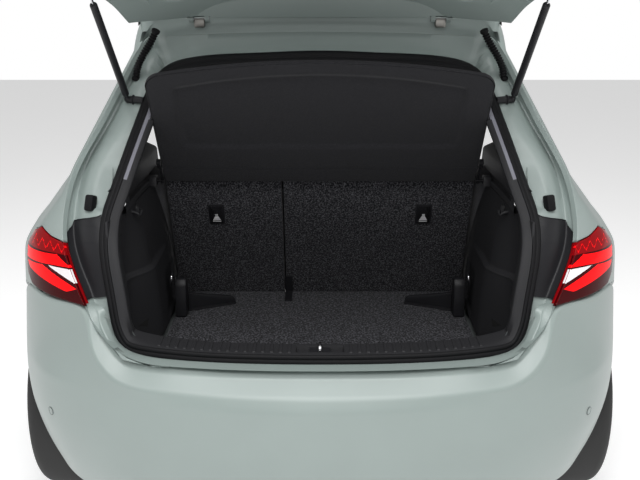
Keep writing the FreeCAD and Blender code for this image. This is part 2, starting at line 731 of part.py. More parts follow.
def bumper_corners():
    # The tailgate's lower corners keep a gap above the bumper's lip.
    lips = [rows[0] for rows in BUMPER_SHARES]
    line = [(x * HALF_WIDTH, z * ROOF_HEIGHT + TAILGATE_GAP) for x, y, z in lips]
    line += [(HALF_WIDTH, 0), (0, 0)]
    return both(rear_prism(line, -SECTION_DEPTH - OVERRUN, -LAMP_FRONT))


def make_tailgate():
    outline = closed_outline(OUTLINE_SHARES)
    seal = closed_outline(SEAL_SHARES)
    window = closed_outline(WINDOW_SHARES)
    corners = bumper_corners()
    zone = tail_prism(grown(outline, -TAILGATE_GAP), TAILGATE_FRONT).cut(corners)
    lowest = OUTLINE_SHARES[0][1] * ROOF_HEIGHT + TAILGATE_GAP + SEAM
    deep = [(x, max(z, lowest)) for x, z in grown(seal, TAILGATE_DEEP_MARGIN)]
    deep_zone = tail_prism(deep, TAILGATE_FRONT).cut(corners)
    cutters = [tail_prism(window, TAILGATE_FRONT)]
    points = [(x * HALF_WIDTH, z * ROOF_HEIGHT) for x, z in INNER_LAMP_SHARES]
    lamp_prism = rear_prism(points, -SECTION_DEPTH - OVERRUN, -LAMP_FRONT).common(zone)
    lamp = band(-LAMP_PROUD, INNER_LAMP_DEPTH, lamp_prism)
    pocket = rear_prism(grown(points, FIT), -SECTION_DEPTH - OVERRUN, -LAMP_FRONT)
    pocket = pocket.cut(envelope(INNER_LAMP_DEPTH + FIT))
    plate = box(-PLATE_HALF, PLATE_HALF, -SECTION_DEPTH - OVERRUN, 0, PLATE_LOW, PLATE_HIGH)
    cutters += [pocket, mirrored(pocket), plate.cut(envelope(PLATE_DEPTH))]
    added = []
    for side in (-1, 1):
        cutters.append(box(side * HINGE_X - HINGE_BLOCK_WIDTH,
                           side * HINGE_X + HINGE_BLOCK_WIDTH,
                           -TAILGATE_FRONT - HINGE_PIN_RADIUS, 0, ROOF_SPLIT_HEIGHT,
                           ROOF_HEIGHT))
        added += hinge_parts(side)[1]
    low, shut, opened, axis = strut_frame()
    pin_axis = FreeCAD.Rotation(vec(1, 0, 0), OPEN_ANGLE).multVec(axis)
    outward = vec(0, -1, 1)
    outward.normalize()
    mount = pin_and_boss(shut, pin_axis, STRUT_ROD_EYE_WIDTH, STRUT_OPEN_GAP, outward)
    mount = mount.common(envelope(TAILGATE_SKIN * HALF))
    added += [mount, mirrored(mount)]
    skin = band(0, TAILGATE_SKIN, zone)
    panel = skin.fuse(band(0, TAILGATE_DEPTH, deep_zone)).cut(cutters).multiFuse(added)
    proud = GLASS_THICKNESS * GLASS_PROUD_SHARE
    glass_zone = tail_prism(grown(window, -GLASS_INSET), TAILGATE_FRONT)
    pane = min(envelope(proud).common(glass_zone).Faces, key=lambda face: face.CenterOfMass.y)
    glass = pane.extrude(vec(0, GLASS_THICKNESS, 0))
    trim_zone = tail_prism(grown(seal, -SEAL_WIDTH - TRIM_MARGIN), TAILGATE_FRONT)
    trim_zone = trim_zone.cut(tail_prism(grown(window, TRIM_MARGIN), TAILGATE_FRONT))
    trim = band(TAILGATE_DEPTH + FIT, TAILGATE_DEPTH + FIT + TAILGATE_TRIM, trim_zone)
    return panel, glass, trim, both(lamp)


def make_spoiler():
    # A roof spoiler carries on the roof's line past the glass.
    points = [(-SPOILER_FRONT, SPOILER_LOW), (-SPOILER_FRONT, ROOF_HEIGHT),
              (-SPOILER_BACK, ROOF_HEIGHT), (-SPOILER_BACK, SPOILER_EDGE),
              (-SPOILER_UNDER, SPOILER_LOW)]
    wedge = side_prism(points, -SPOILER_HALF, SPOILER_HALF)
    plan = plan_prism([(-SPOILER_HALF, -SPOILER_FRONT), (-SPOILER_TIP_HALF, -SPOILER_BACK),
                       (SPOILER_TIP_HALF, -SPOILER_BACK), (SPOILER_HALF, -SPOILER_FRONT)],
                      SPOILER_LOW, ROOF_HEIGHT)
    return wedge.common(plan).common(roof_cap(-SPOILER_RISE)).cut(envelope(-FIT))


def make_wiper():
    back = skin_back(0, WIPER_HEIGHT, 0)
    hub = Part.makeCylinder(WIPER_HUB_RADIUS, WIPER_HUB_LENGTH,
                            vec(0, back - WIPER_HUB_LENGTH, WIPER_HEIGHT), vec(0, 1, 0))
    arm = box(-WIPER_ARM_LENGTH, 0, back - WIPER_HUB_LENGTH, back - WIPER_HUB_LENGTH
              + WIPER_ARM_DEPTH, WIPER_HEIGHT - WIPER_ARM_WIDTH * HALF,
              WIPER_HEIGHT + WIPER_ARM_WIDTH * HALF)
    return hub.fuse(arm).cut(envelope(-FIT))


def make_seal():
    seal = closed_outline(SEAL_SHARES)
    ring = tail_prism(seal, PILLAR_TRIM_FRONT)
    ring = ring.cut(tail_prism(grown(seal, -SEAL_WIDTH), PILLAR_TRIM_FRONT - OVERRUN))
    return largest(band(GUTTER_DEPTH - SEAL_PROUD, GUTTER_DEPTH - FIT, ring))


def make_lamp_covers():
    points = [(x * HALF_WIDTH, z * ROOF_HEIGHT) for x, z in COVER_SHARES]
    zone = rear_prism(points, -SECTION_DEPTH - OVERRUN, -LAMP_FRONT)
    cover = band(GUTTER_DEPTH - FIT - COVER_THICKNESS, GUTTER_DEPTH - FIT, zone)
    return both(cover)


def gutter_stud(x, z, radius, length):
    back = skin_back(x, z, GUTTER_DEPTH)
    stud = Part.makeCylinder(radius, length + OVERRUN, vec(x, back - length, z), vec(0, 1, 0))
    return both(stud.cut(envelope(GUTTER_DEPTH - FIT)))


def bumper_wires():
    stations = []
    for rows in BUMPER_SHARES:
        stations.append([vec(x * HALF_WIDTH, -y * SECTION_DEPTH, z * ROOF_HEIGHT)
                         for x, y, z in rows])
    wires = []
    count = len(stations)
    for index, (lip, crease, side, belly, hem) in enumerate(stations):
        before = stations[max(index - 1, 0)][2]
        after = stations[min(index + 1, count - 1)][2]
        along = after - before
        if index == 0:
            along = vec(1, 0, 0)
        if index == count - 1:
            along = vec(0, 1, 0)
        inward = vec(-along.y, along.x, 0)
        inward.normalize()
        run = vec(crease.x - lip.x, crease.y - lip.y, 0)
        fall = vec(0, 0, crease.z - lip.z)
        edge = lip + run * LIP_SHARE + fall * LIP_DROP_SHARE
        step = lip + run * STEP_SHARE + fall * STEP_DROP_SHARE
        down = vec(0, 0, -BUMPER_SHELF_WALL)
        wall = inward * BUMPER_WALL
        wires.append([lip, edge, step, crease, side, belly, hem, hem + wall, belly + wall,
                      side + wall, crease + wall + down, step + wall * HALF + down,
                      lip + wall * LIP_DROP_SHARE + down])
    return wires


def make_bumper():
    rows = bumper_wires()
    left = [[vec(-p.x, p.y, p.z) for p in row] for row in reversed(rows[1:])]
    loft = Part.makeLoft([polygon(row) for row in left + rows], True, True)
    return loft.cut(arch_cutter())


def make_valance():
    back = VALANCE_BACK
    points = [(-back, VALANCE_TOP), (-back + VALANCE_SLOPE, VALANCE_BOTTOM),
              (-back + VALANCE_DEPTH, VALANCE_BOTTOM),
              (-back + VALANCE_DEPTH, VALANCE_BOTTOM + BUMPER_SHELF_WALL),
              (-back + VALANCE_FLANGE, VALANCE_TOP)]
    lip = side_prism(points, -VALANCE_HALF, VALANCE_HALF)
    return lip.common(envelope(VALANCE_INSET))


def make_back_panel(bumper):
    top = SEAL_SHARES[0][1] * ROOF_HEIGHT + SEAL_WIDTH * HALF
    zone = box(-HALF_WIDTH, HALF_WIDTH, -SECTION_DEPTH, -BACK_PANEL_FRONT, BACK_PANEL_BOTTOM,
               top)
    low = band(GUTTER_DEPTH + FIT, BACK_PANEL_DEPTH, zone).cut(arch_cutter())
    beam = box(-BEAM_HALF, BEAM_HALF, -CRASH_BEAM_BACK, -CRASH_BEAM_FRONT, CRASH_BEAM_LOW,
               CRASH_BEAM_HIGH)
    beam = beam.cut(envelope(GUTTER_DEPTH + SEAM))
    beam = beam.cut(bumper)
    return low.fuse(largest(beam))


def make_side_trim():
    levels = ((TRIM_LOW_SHARES, TRIM_BOTTOM_HEIGHT), (TRIM_MIDDLE_SHARES, TRIM_MIDDLE_HEIGHT),
              (TRIM_TOP_SHARES, TRIM_TOP_HEIGHT))
    wires = []
    for shares, height in levels:
        inner = [vec(x * HALF_WIDTH, -y * SECTION_DEPTH, height) for x, y in shares]
        outer = [p + vec(TRIM_WALL, 0, 0) for p in reversed(inner)]
        wires.append(polygon(inner + outer))
    drum = Part.makeCylinder(ARCH_RADIUS + WHEELHOUSE_GAP + WHEELHOUSE_WALL + FIT, HALF_WIDTH,
                             vec(WHEELHOUSE_INNER - FIT, -AXLE_BACK, AXLE_HEIGHT), vec(1, 0, 0))
    wall = Part.makeLoft(wires, True, True).common(envelope(WALL_DEPTH + FIT)).cut(drum)
    top = [(x * HALF_WIDTH, -y * SECTION_DEPTH) for x, y in TRIM_TOP_SHARES]
    far = [(HALF_WIDTH, top[-1][1]), (HALF_WIDTH, top[0][1])]
    ledge = plan_prism(top + far, TRIM_TOP_HEIGHT - LEDGE_THICKNESS, TRIM_TOP_HEIGHT)
    ledge = ledge.common(envelope(WALL_DEPTH + FIT))
    x0 = SHELF_HALF + SHELF_LUG_GAP
    lug = box(x0, x0 + SHELF_LUG_WIDTH, -SHELF_BACK - SHELF_LUG_HALF,
              -SHELF_BACK + SHELF_LUG_HALF, TRIM_TOP_HEIGHT - LEDGE_THICKNESS,
              SHELF_HEIGHT + SHELF_LUG_RISE)
    bore = Part.makeCylinder(SHELF_PIN_RADIUS + RUNNING_CLEARANCE, SHELF_LUG_WIDTH + OVERRUN,
                             vec(x0 - OVERRUN * HALF, -SHELF_BACK, SHELF_HEIGHT), vec(1, 0, 0))
    return wall.fuse(ledge).fuse(lug.cut(bore))


def make_pillar_trims():
    seal = closed_outline(SEAL_SHARES)
    zone = box(SHELF_HALF * HALF, HALF_WIDTH, -SECTION_DEPTH, -PILLAR_TRIM_FRONT,
               TRIM_TOP_HEIGHT + FIT, PILLAR_TRIM_TOP)
    aperture = tail_prism(grown(seal, -SEAL_WIDTH * HALF), PILLAR_TRIM_FRONT - OVERRUN)
    zone = zone.cut([front_cut(), aperture])
    return both(largest(band(WALL_DEPTH + FIT, WALL_DEPTH + FIT + PILLAR_TRIM, zone)))


def make_headliner():
    seal = closed_outline(SEAL_SHARES)
    zone = box(-HALF_WIDTH, HALF_WIDTH, -SECTION_DEPTH, -ROOF_CUT, HEADLINER_BOTTOM,
               ROOF_HEIGHT)
    zone = zone.cut(tail_prism(grown(seal, -SEAL_WIDTH * HALF), ROOF_CUT - OVERRUN))
    return largest(band(WALL_DEPTH + FIT, WALL_DEPTH + FIT + HEADLINER, zone))


def make_sill_trim():
    top = envelope(SILL_TRIM_DEPTH)
    bottom = SILL_TRIM_TOP - SILL_TRIM_SHEET
    plate = top.common(box(-SILL_TRIM_HALF, SILL_TRIM_HALF, -SECTION_DEPTH, -SILL_TRIM_INNER,
                           bottom, SILL_TRIM_TOP))
    wall = box(-SILL_WALL_HALF, SILL_WALL_HALF, -SILL_TRIM_INNER - SEAM,
               -SILL_TRIM_INNER + SILL_TRIM_WALL, BOARD_TOP + BOARD_GAP, SILL_TRIM_TOP)
    trim = plate.fuse(wall)
    recess = box(-STRIKER_RECESS_HALF, STRIKER_RECESS_HALF, -STRIKER_BACK - STRIKER_PLATE_DEPTH,
                 -STRIKER_BACK + STRIKER_PLATE_DEPTH, SILL_TRIM_TOP - STRIKER_RECESS_DEPTH,
                 SILL_TRIM_TOP + OVERRUN)
    ribs = []
    for index in range(SILL_RIB_COUNT):
        x = (index - SILL_RIB_COUNT * HALF + HALF) * SILL_RIB_PITCH
        if abs(x) < STRIKER_RECESS_HALF + SILL_RIB_WIDTH:
            continue
        ribs.append(box(x - SILL_RIB_WIDTH * HALF, x + SILL_RIB_WIDTH * HALF,
                        -SILL_TRIM_INNER - SILL_RIB_LENGTH, -SILL_TRIM_INNER - SILL_RIB_HEIGHT,
                        SILL_TRIM_TOP - SILL_RIB_HEIGHT, SILL_TRIM_TOP + SILL_RIB_HEIGHT))
    return trim.multiFuse(ribs).cut(recess)


def make_striker():
    base = SILL_TRIM_TOP - STRIKER_RECESS_DEPTH + FIT
    # The bow stands along the car, so from behind only its rear leg shows.
    plate = box(-STRIKER_PLATE_HALF, STRIKER_PLATE_HALF, -STRIKER_BACK - STRIKER_PLATE_LENGTH,
                -STRIKER_BACK + STRIKER_PLATE_LENGTH, base, base + STRIKER_PLATE)
    rise = base + STRIKER_RISE
    bow = Part.makeCylinder(STRIKER_RADIUS, STRIKER_HALF + STRIKER_HALF,
                            vec(0, -STRIKER_BACK - STRIKER_HALF, rise), vec(0, 1, 0))
    for y in (-STRIKER_BACK - STRIKER_HALF, -STRIKER_BACK + STRIKER_HALF):
        bow = bow.fuse(Part.makeSphere(STRIKER_RADIUS, vec(0, y, rise)))
        bow = bow.fuse(Part.makeCylinder(STRIKER_RADIUS, STRIKER_RISE, vec(0, y, base),
                                         vec(0, 0, 1)))
    return plate.fuse(bow)


def make_floor_pan():
    rail_outer = WHEELHOUSE_INNER - FIT
    board_seat = BOARD_TOP - BOARD_THICKNESS - FIT
    floor = box(-rail_outer, rail_outer, -FLOOR_REAR, 0, FLOOR_TOP - FLOOR_SHEET, FLOOR_TOP)
    heel = box(-rail_outer, rail_outer, -HEEL_BACK - HEEL_THICKNESS, -HEEL_BACK,
               FLOOR_TOP - FLOOR_SHEET, HEEL_TOP)
    member = box(-rail_outer, rail_outer, -CROSS_MEMBER_DEPTH, 0, CROSS_MEMBER_BOTTOM,
                 FLOOR_TOP)
    outrigger = box(-HALF_WIDTH, HALF_WIDTH, -CROSS_MEMBER_DEPTH, 0, CROSS_MEMBER_BOTTOM,
                    FLOOR_TOP - ARM_HEIGHT)
    outrigger = outrigger.common(envelope(WALL_DEPTH + FIT))
    floor = floor.fuse(heel).fuse(member).fuse(outrigger)
    for side in (-1, 1):
        rail = box(RAIL_INNER, rail_outer, -FLOOR_REAR, -RAIL_STEP, RAIL_BOTTOM, board_seat)
        front = box(RAIL_INNER, rail_outer, -RAIL_STEP, -RAIL_FRONT, RAIL_BOTTOM, HEEL_TOP)
        lead = box(RAIL_INNER, rail_outer, -RAIL_FRONT, 0, RAIL_BOTTOM, FLOOR_TOP)
        bracket_x = BACK_HALF + BACK_BRACKET_GAP
        bracket = box(bracket_x, rail_outer, -BACK_PIVOT_BACK - BACK_BRACKET_HALF,
                      -BACK_PIVOT_BACK + BACK_BRACKET_HALF, HEEL_TOP - SEAM, BACK_BRACKET_TOP)
        bore = Part.makeCylinder(BACK_PIN_RADIUS + RUNNING_CLEARANCE, HALF_WIDTH,
                                 vec(0, -BACK_PIVOT_BACK, BACK_PIVOT_HEIGHT), vec(1, 0, 0))
        bracket = bracket.cut(bore)
        group = rail.fuse(front).fuse(lead).fuse(bracket)
        for x in (ARM_X - BUSH_HALF - FIT - BUSH_PLATE, ARM_X + BUSH_HALF + FIT):
            group = group.fuse(box(x, x + BUSH_PLATE, -BUSH_BACK - BUSH_PLATE_HALF,
                                   -BUSH_BACK + BUSH_PLATE_HALF, BUSH_PLATE_BOTTOM,
                                   RAIL_BOTTOM + SEAM))
        floor = floor.fuse(group if side > 0 else mirrored(group))
    return floor.common(envelope(BACK_PANEL_DEPTH + FIT))


def make_wheelhouses():
    inner = ARCH_RADIUS + WHEELHOUSE_GAP
    outer = inner + WHEELHOUSE_WALL
    centre = vec(WHEELHOUSE_INNER, -AXLE_BACK, AXLE_HEIGHT)
    drum = Part.makeCylinder(outer, HALF_WIDTH - WHEELHOUSE_INNER, centre, vec(1, 0, 0))
    hollow = Part.makeCylinder(inner, HALF_WIDTH, centre + vec(WHEELHOUSE_WALL, 0, 0),
                               vec(1, 0, 0))
    tub = drum.cut(hollow).common(envelope(WALL_DEPTH + FIT))
    tub = tub.common(box(0, HALF_WIDTH, -SECTION_DEPTH, 0, WHEELHOUSE_FLOOR, ROOF_HEIGHT))
    tub = largest(tub)
    seat = box(WHEELHOUSE_INNER + WHEELHOUSE_WALL * HALF, SPRING_X + SPRING_SEAT_HALF,
               -SPRING_BACK - SPRING_SEAT_HALF, -SPRING_BACK + SPRING_SEAT_HALF, SPRING_HIGH,
               SPRING_HIGH + SPRING_SEAT)
    return both(tub.fuse(seat.common(drum)))


def make_boot_floor():
    right = [(x * HALF_WIDTH, -y * SECTION_DEPTH) for x, y in BOARD_SHARES]
    left = [(-x, y) for x, y in reversed(right)]
    return plan_prism(right + left, BOARD_TOP - BOARD_THICKNESS, BOARD_TOP)


def make_axle_beam():
    arm_half = ARM_WIDTH * HALF
    group = None
    for side in (-1, 1):
        bush = Part.makeCylinder(BUSH_RADIUS, BUSH_HALF + BUSH_HALF,
                                 vec(ARM_X - BUSH_HALF, -BUSH_BACK, BUSH_HEIGHT), vec(1, 0, 0))
        low = AXLE_HEIGHT - ARM_HEIGHT
        arm = box(ARM_X - arm_half, ARM_X + arm_half, -AXLE_BACK - ARM_TAIL, -BUSH_BACK, low,
                  AXLE_HEIGHT + BUSH_RADIUS)
        stub = Part.makeCylinder(STUB_RADIUS, DRUM_INNER - ARM_X,
                                 vec(ARM_X, -AXLE_BACK, AXLE_HEIGHT), vec(1, 0, 0))
        drum = Part.makeCylinder(DRUM_RADIUS, DRUM_OUTER - DRUM_INNER,
                                 vec(DRUM_INNER, -AXLE_BACK, AXLE_HEIGHT), vec(1, 0, 0))
        spindle = Part.makeCylinder(SPINDLE_RADIUS, WHEEL_CENTRE - DRUM_OUTER,
                                    vec(DRUM_OUTER, -AXLE_BACK, AXLE_HEIGHT), vec(1, 0, 0))
        pan = box(ARM_X, SPRING_X + SPRING_SEAT_HALF, -SPRING_BACK - SPRING_SEAT_HALF,
                  -DAMPER_BACK + DAMPER_RADIUS, SPRING_LOW - SPRING_SEAT, SPRING_LOW)
        side_group = bush.fuse(arm).fuse(stub).fuse(drum).fuse(spindle).fuse(pan)
        if side < 0:
            side_group = mirrored(side_group)
        group = side_group if group is None else group.fuse(side_group)
    points = [(-BEAM_BACK - BEAM_SPREAD, BEAM_TOP - BEAM_DROP), (-BEAM_BACK, BEAM_TOP),
              (-BEAM_BACK + BEAM_SPREAD, BEAM_TOP - BEAM_DROP),
              (-BEAM_BACK + BEAM_SPREAD - BEAM_WALL - SEAM, BEAM_TOP - BEAM_DROP),
              (-BEAM_BACK, BEAM_TOP - BEAM_WALL - BEAM_WALL),
              (-BEAM_BACK - BEAM_SPREAD + BEAM_WALL + SEAM, BEAM_TOP - BEAM_DROP)]
    return group.fuse(side_prism(points, -ARM_X, ARM_X))


def make_springs():
    # Each spring is a sleeve with one ridge for each turn of its wire.
    height = SPRING_HIGH - SPRING_LOW - FIT - FIT
    step = height / SPRING_TURNS * HALF
    low = SPRING_LOW + FIT
    outer = SPRING_RADIUS + SPRING_WIRE
    inner = SPRING_RADIUS - SPRING_WIRE
    profile = [vec(inner - SPRING_WIRE, 0, low), vec(inner, 0, low)]
    for turn in range(int(SPRING_TURNS)):
        base = low + turn * (step + step)
        profile += [vec(outer, 0, base + step), vec(inner, 0, base + step + step)]
    profile.append(vec(inner - SPRING_WIRE, 0, low + height))
    sleeve = Part.Face(polygon(profile)).revolve(vec(0, 0, 0), vec(0, 0, 1), FULL_TURN)
    sleeve.translate(vec(SPRING_X, -SPRING_BACK, 0))
    return both(sleeve)


def make_dampers():
    foot = vec(DAMPER_X, -DAMPER_BACK, DAMPER_LOW + FIT)
    join = vec(DAMPER_X, -DAMPER_BACK, DAMPER_JOIN)
    reach = math.sqrt((ARCH_RADIUS + WHEELHOUSE_GAP) ** 2 - (AXLE_BACK - DAMPER_BACK
                                                            + DAMPER_ROD_RADIUS) ** 2)
    head = vec(DAMPER_X, -DAMPER_BACK, AXLE_HEIGHT + reach - FIT)
    tube = bar(foot, join, DAMPER_RADIUS)
    return both(tube.fuse(bar(join, head, DAMPER_ROD_RADIUS)))


def make_silencer():
    can = box(SILENCER_X - SILENCER_LENGTH * HALF, SILENCER_X + SILENCER_LENGTH * HALF,
              -SILENCER_BACK, -SILENCER_BACK + SILENCER_WIDTH, SILENCER_BOTTOM,
              SILENCER_BOTTOM + SILENCER_HEIGHT)
    edges = [edge for edge in can.Edges
             if abs(edge.Vertexes[0].X - edge.Vertexes[-1].X) > SILENCER_HEIGHT]
    can = can.makeFillet(SILENCER_ROUND, edges)
    for x in (SILENCER_X - SILENCER_HEIGHT, SILENCER_X + SILENCER_HEIGHT):
        hanger = box(x - HANGER_WIDTH * HALF, x + HANGER_WIDTH * HALF,
                     -SILENCER_BACK + SILENCER_WIDTH * HALF,
                     -SILENCER_BACK + SILENCER_WIDTH * HALF + HANGER_WIDTH,
                     SILENCER_BOTTOM + SILENCER_HEIGHT * HALF, FLOOR_TOP - FLOOR_SHEET - FIT)
        can = can.fuse(hanger)
    return can


def lean_back(shape):
    shape = shape.copy()
    shape.rotate(vec(0, 0, 0), vec(1, 0, 0), BACK_LEAN)
    shape.translate(vec(0, -BACK_PIVOT_BACK, BACK_PIVOT_HEIGHT))
    return shape


def make_backrest(x0, x1, split_x, headrests, tether_x):
    half = BACK_THICKNESS * HALF
    top = BACK_LENGTH - half
    front = BACK_TOP_THICKNESS - half
    r = BACK_TOP_RADIUS
    k = r * (1 - math.sqrt(HALF))
    rear_low = vec(x0, -half, 0)
    front_low = vec(x0, half, 0)
    rear_high = vec(x0, -half, top - r)
    front_high = vec(x0, front, top - r)
    edges = [Part.Arc(front_low, vec(x0, 0, -half), rear_low).toShape(),
             Part.makeLine(rear_low, rear_high),
             Part.Arc(rear_high, vec(x0, -half + k, top - k),
                      vec(x0, -half + r, top)).toShape(),
             Part.makeLine(vec(x0, -half + r, top), vec(x0, front - r, top)),
             Part.Arc(vec(x0, front - r, top), vec(x0, front - k, top - k),
                      front_high).toShape(),
             Part.makeLine(front_high, front_low)]
    back = extruded(Part.Wire(edges), vec(x1 - x0, 0, 0))
    inner_x = split_x - BACK_NOTCH
    notch = box(inner_x, split_x + BACK_NOTCH, -BACK_THICKNESS, BACK_THICKNESS,
                -BACK_THICKNESS, BACK_NOTCH_HIGH)
    back = back.cut(notch)
    sign = 1 if x1 > BACK_HALF * HALF else -1
    outer = BACK_HALF - FIT
    pin = Part.makeCylinder(BACK_PIN_RADIUS, BACK_PIN_LENGTH - SEAM, vec(sign * outer, 0, 0),
                            vec(sign, 0, 0))
    stub = Part.makeCylinder(BACK_PIN_RADIUS, CENTRE_PIN_REACH + SEAM,
                             vec(split_x + sign * (BACK_NOTCH + SEAM), 0, 0), vec(-sign, 0, 0))
    back = back.fuse(pin).fuse(stub)
    for x in headrests:
        head = box(x - HEADREST_WIDTH * HALF, x + HEADREST_WIDTH * HALF,
                   -HEADREST_DEPTH * HALF, HEADREST_DEPTH * HALF, top + HEADREST_RISE,
                   top + HEADREST_RISE + HEADREST_HEIGHT)
        head = head.makeFillet(HEADREST_ROUND, head.Edges)
        back = back.fuse(head)
        for post_x in (x - HEADREST_POST_HALF, x + HEADREST_POST_HALF):
            back = back.fuse(Part.makeCylinder(HEADREST_POST, HEADREST_RISE + r + r,
                                               vec(post_x, 0, top - r), vec(0, 0, 1)))
    cover = box(tether_x - TETHER_WIDTH * HALF, tether_x + TETHER_WIDTH * HALF,
                -half - TETHER_PROUD, 0, TETHER_ALONG - TETHER_LENGTH * HALF - half,
                TETHER_ALONG + TETHER_LENGTH * HALF - half)
    return lean_back(back.fuse(cover))


def make_centre_hinge():
    split = -BACK_SPLIT
    plate = box(split - CENTRE_PLATE * HALF, split + CENTRE_PLATE * HALF,
                -BACK_PIVOT_BACK - CENTRE_PLATE_HALF, -BACK_PIVOT_BACK + CENTRE_PLATE_HALF,
                HEEL_TOP + FIT, CENTRE_PLATE_TOP)
    plate = plate.cut(Part.makeCylinder(BACK_PIN_RADIUS + RUNNING_CLEARANCE, BACK_SPLIT,
                                        vec(split - BACK_SPLIT * HALF, -BACK_PIVOT_BACK,
                                            BACK_PIVOT_HEIGHT), vec(1, 0, 0)))
    half = BACK_THICKNESS * HALF
    strap = box(split, split + HINGE_STRAP_WIDTH, -half - HINGE_STRAP_GAP - HINGE_STRAP_SHEET,
                -half - HINGE_STRAP_GAP, -half, HINGE_STRAP_FOOT)
    strap = lean_back(strap)
    strap = strap.cut(box(-HALF_WIDTH, HALF_WIDTH, -SECTION_DEPTH, 0, 0, BOARD_TOP + FIT))
    foot = box(split, split + HINGE_STRAP_WIDTH,
               -BOARD_FRONT - HINGE_STRAP_FOOT - HINGE_STRAP_WIDTH, -BOARD_FRONT - SEAM,
               BOARD_TOP + FIT, BOARD_TOP + FIT + HINGE_STRAP_SHEET)
    return Part.makeCompound([plate, strap.fuse(foot)])


def make_cargo_brackets():
    post = box(CARGO_POST_X, CARGO_POST_X + CARGO_POST_WIDTH, -CARGO_POST_BACK,
               -CARGO_POST_BACK + CARGO_POST_DEPTH, BOARD_TOP + FIT,
               BOARD_TOP + CARGO_POST_HEIGHT)
    leg = side_prism([(0, 0), (0, CARGO_LEG_HIGH), (-CARGO_LEG_REACH, CARGO_LEG_LOW),
                      (-CARGO_LEG_REACH, 0)], 0, CARGO_LEG_WIDTH)
    leg.rotate(vec(0, 0, 0), vec(0, 0, 1), -CARGO_LEG_TURN - CARGO_LEG_TURN)
    leg.translate(vec(CARGO_POST_X + CARGO_LEG_WIDTH, -CARGO_POST_BACK + CARGO_POST_DEPTH,
                      BOARD_TOP + FIT))
    return both(post.fuse(leg))


def make_lashing_eyes():
    plate = box(EYE_X - EYE_RADIUS, EYE_X, -EYE_BACK - EYE_RADIUS, -EYE_BACK + EYE_RADIUS,
                BOARD_TOP + FIT, BOARD_TOP + FIT + EYE_PLATE)
    centre = vec(EYE_X - EYE_RADIUS * HALF - EYE_WIRE, -EYE_BACK, BOARD_TOP + EYE_PLATE)
    ring = Part.makeCylinder(EYE_RADIUS, EYE_WIRE + EYE_WIRE, centre, vec(1, 0, 0))
    ring = ring.cut(Part.makeCylinder(EYE_RADIUS - EYE_WIRE - EYE_WIRE, HALF_WIDTH,
                                      centre - vec(OVERRUN, 0, 0), vec(1, 0, 0)))
    ring = ring.cut(box(0, HALF_WIDTH, -SECTION_DEPTH, 0, 0, BOARD_TOP + EYE_PLATE * HALF))
    return both(plate.fuse(ring))


def make_bag_hooks(trim):
    x = TRIM_TOP_SHARES[3][0] * HALF_WIDTH
    base = box(x - HOOK_THICKNESS, x + TRIM_WALL * HALF, -HOOK_BACK - HOOK_WIDTH,
               -HOOK_BACK + HOOK_WIDTH, HOOK_HEIGHT - HOOK_DROP, HOOK_HEIGHT)
    arm = box(x - HOOK_REACH, x, -HOOK_BACK - HOOK_WIDTH * HALF, -HOOK_BACK + HOOK_WIDTH * HALF,
              HOOK_HEIGHT - HOOK_DROP, HOOK_HEIGHT - HOOK_DROP + HOOK_THICKNESS)
    lip = box(x - HOOK_REACH, x - HOOK_REACH + HOOK_THICKNESS,
              -HOOK_BACK - HOOK_WIDTH * HALF, -HOOK_BACK + HOOK_WIDTH * HALF,
              HOOK_HEIGHT - HOOK_DROP, HOOK_HEIGHT - HOOK_THICKNESS)
    hook = base.fuse(arm).fuse(lip).cut(trim)
    return both(largest(hook))


def make_parcel_shelf():
    start = vec(SHELF_REAR_HALF, -SHELF_SIDE_LENGTH, 0)
    middle = vec(0, -SHELF_LENGTH, 0)
    end = vec(-SHELF_REAR_HALF, -SHELF_SIDE_LENGTH, 0)
    half = SHELF_THICKNESS * HALF
    edges = [Part.Arc(start, middle, end).toShape(), Part.makeLine(end, vec(-SHELF_HALF, 0, 0)),
             Part.makeLine(vec(-SHELF_HALF, 0, 0), vec(SHELF_HALF, 0, 0)),
             Part.makeLine(vec(SHELF_HALF, 0, 0), start)]
    board = extruded(Part.Wire(edges), vec(0, 0, SHELF_THICKNESS))
    corners = [edge for edge in board.Edges
               if edge.BoundBox.ZLength > half and edge.BoundBox.YMax < -SHELF_CORNER]
    board = board.makeFillet(SHELF_CORNER, corners)
    board.translate(vec(0, 0, -half))
    recess = box(-SHELF_RECESS_HALF, SHELF_RECESS_HALF, -SHELF_RECESS_END,
                 -SHELF_RECESS_START, -half, -half + SHELF_RECESS_DEPTH)
    board = board.cut(recess)
    for side in (-1, 1):
        pin = Part.makeCylinder(SHELF_PIN_RADIUS, SHELF_PIN_LENGTH + SEAM,
                                vec(side * (SHELF_HALF - SEAM), 0, 0), vec(side, 0, 0))
        board = board.fuse(pin)
    board.rotate(vec(0, 0, 0), vec(1, 0, 0), -SHELF_ANGLE)
    board.translate(vec(0, -SHELF_BACK, SHELF_HEIGHT))
    return board


def make_tyre():
    start = WHEEL_CENTRE - TYRE_WIDTH * HALF
    centre = vec(start, -AXLE_BACK, AXLE_HEIGHT)
    tyre = Part.makeCylinder(TYRE_RADIUS, TYRE_WIDTH, centre, vec(1, 0, 0))
    rims = [edge for edge in tyre.Edges if edge.Length > TYRE_RADIUS * math.pi
            and edge.isClosed() and len(edge.Vertexes) == 1]
    tyre = tyre.makeFillet(TYRE_SHOULDER, rims)
    return tyre.cut(Part.makeCylinder(RIM_RADIUS + FIT, TYRE_WIDTH, centre, vec(1, 0, 0)))


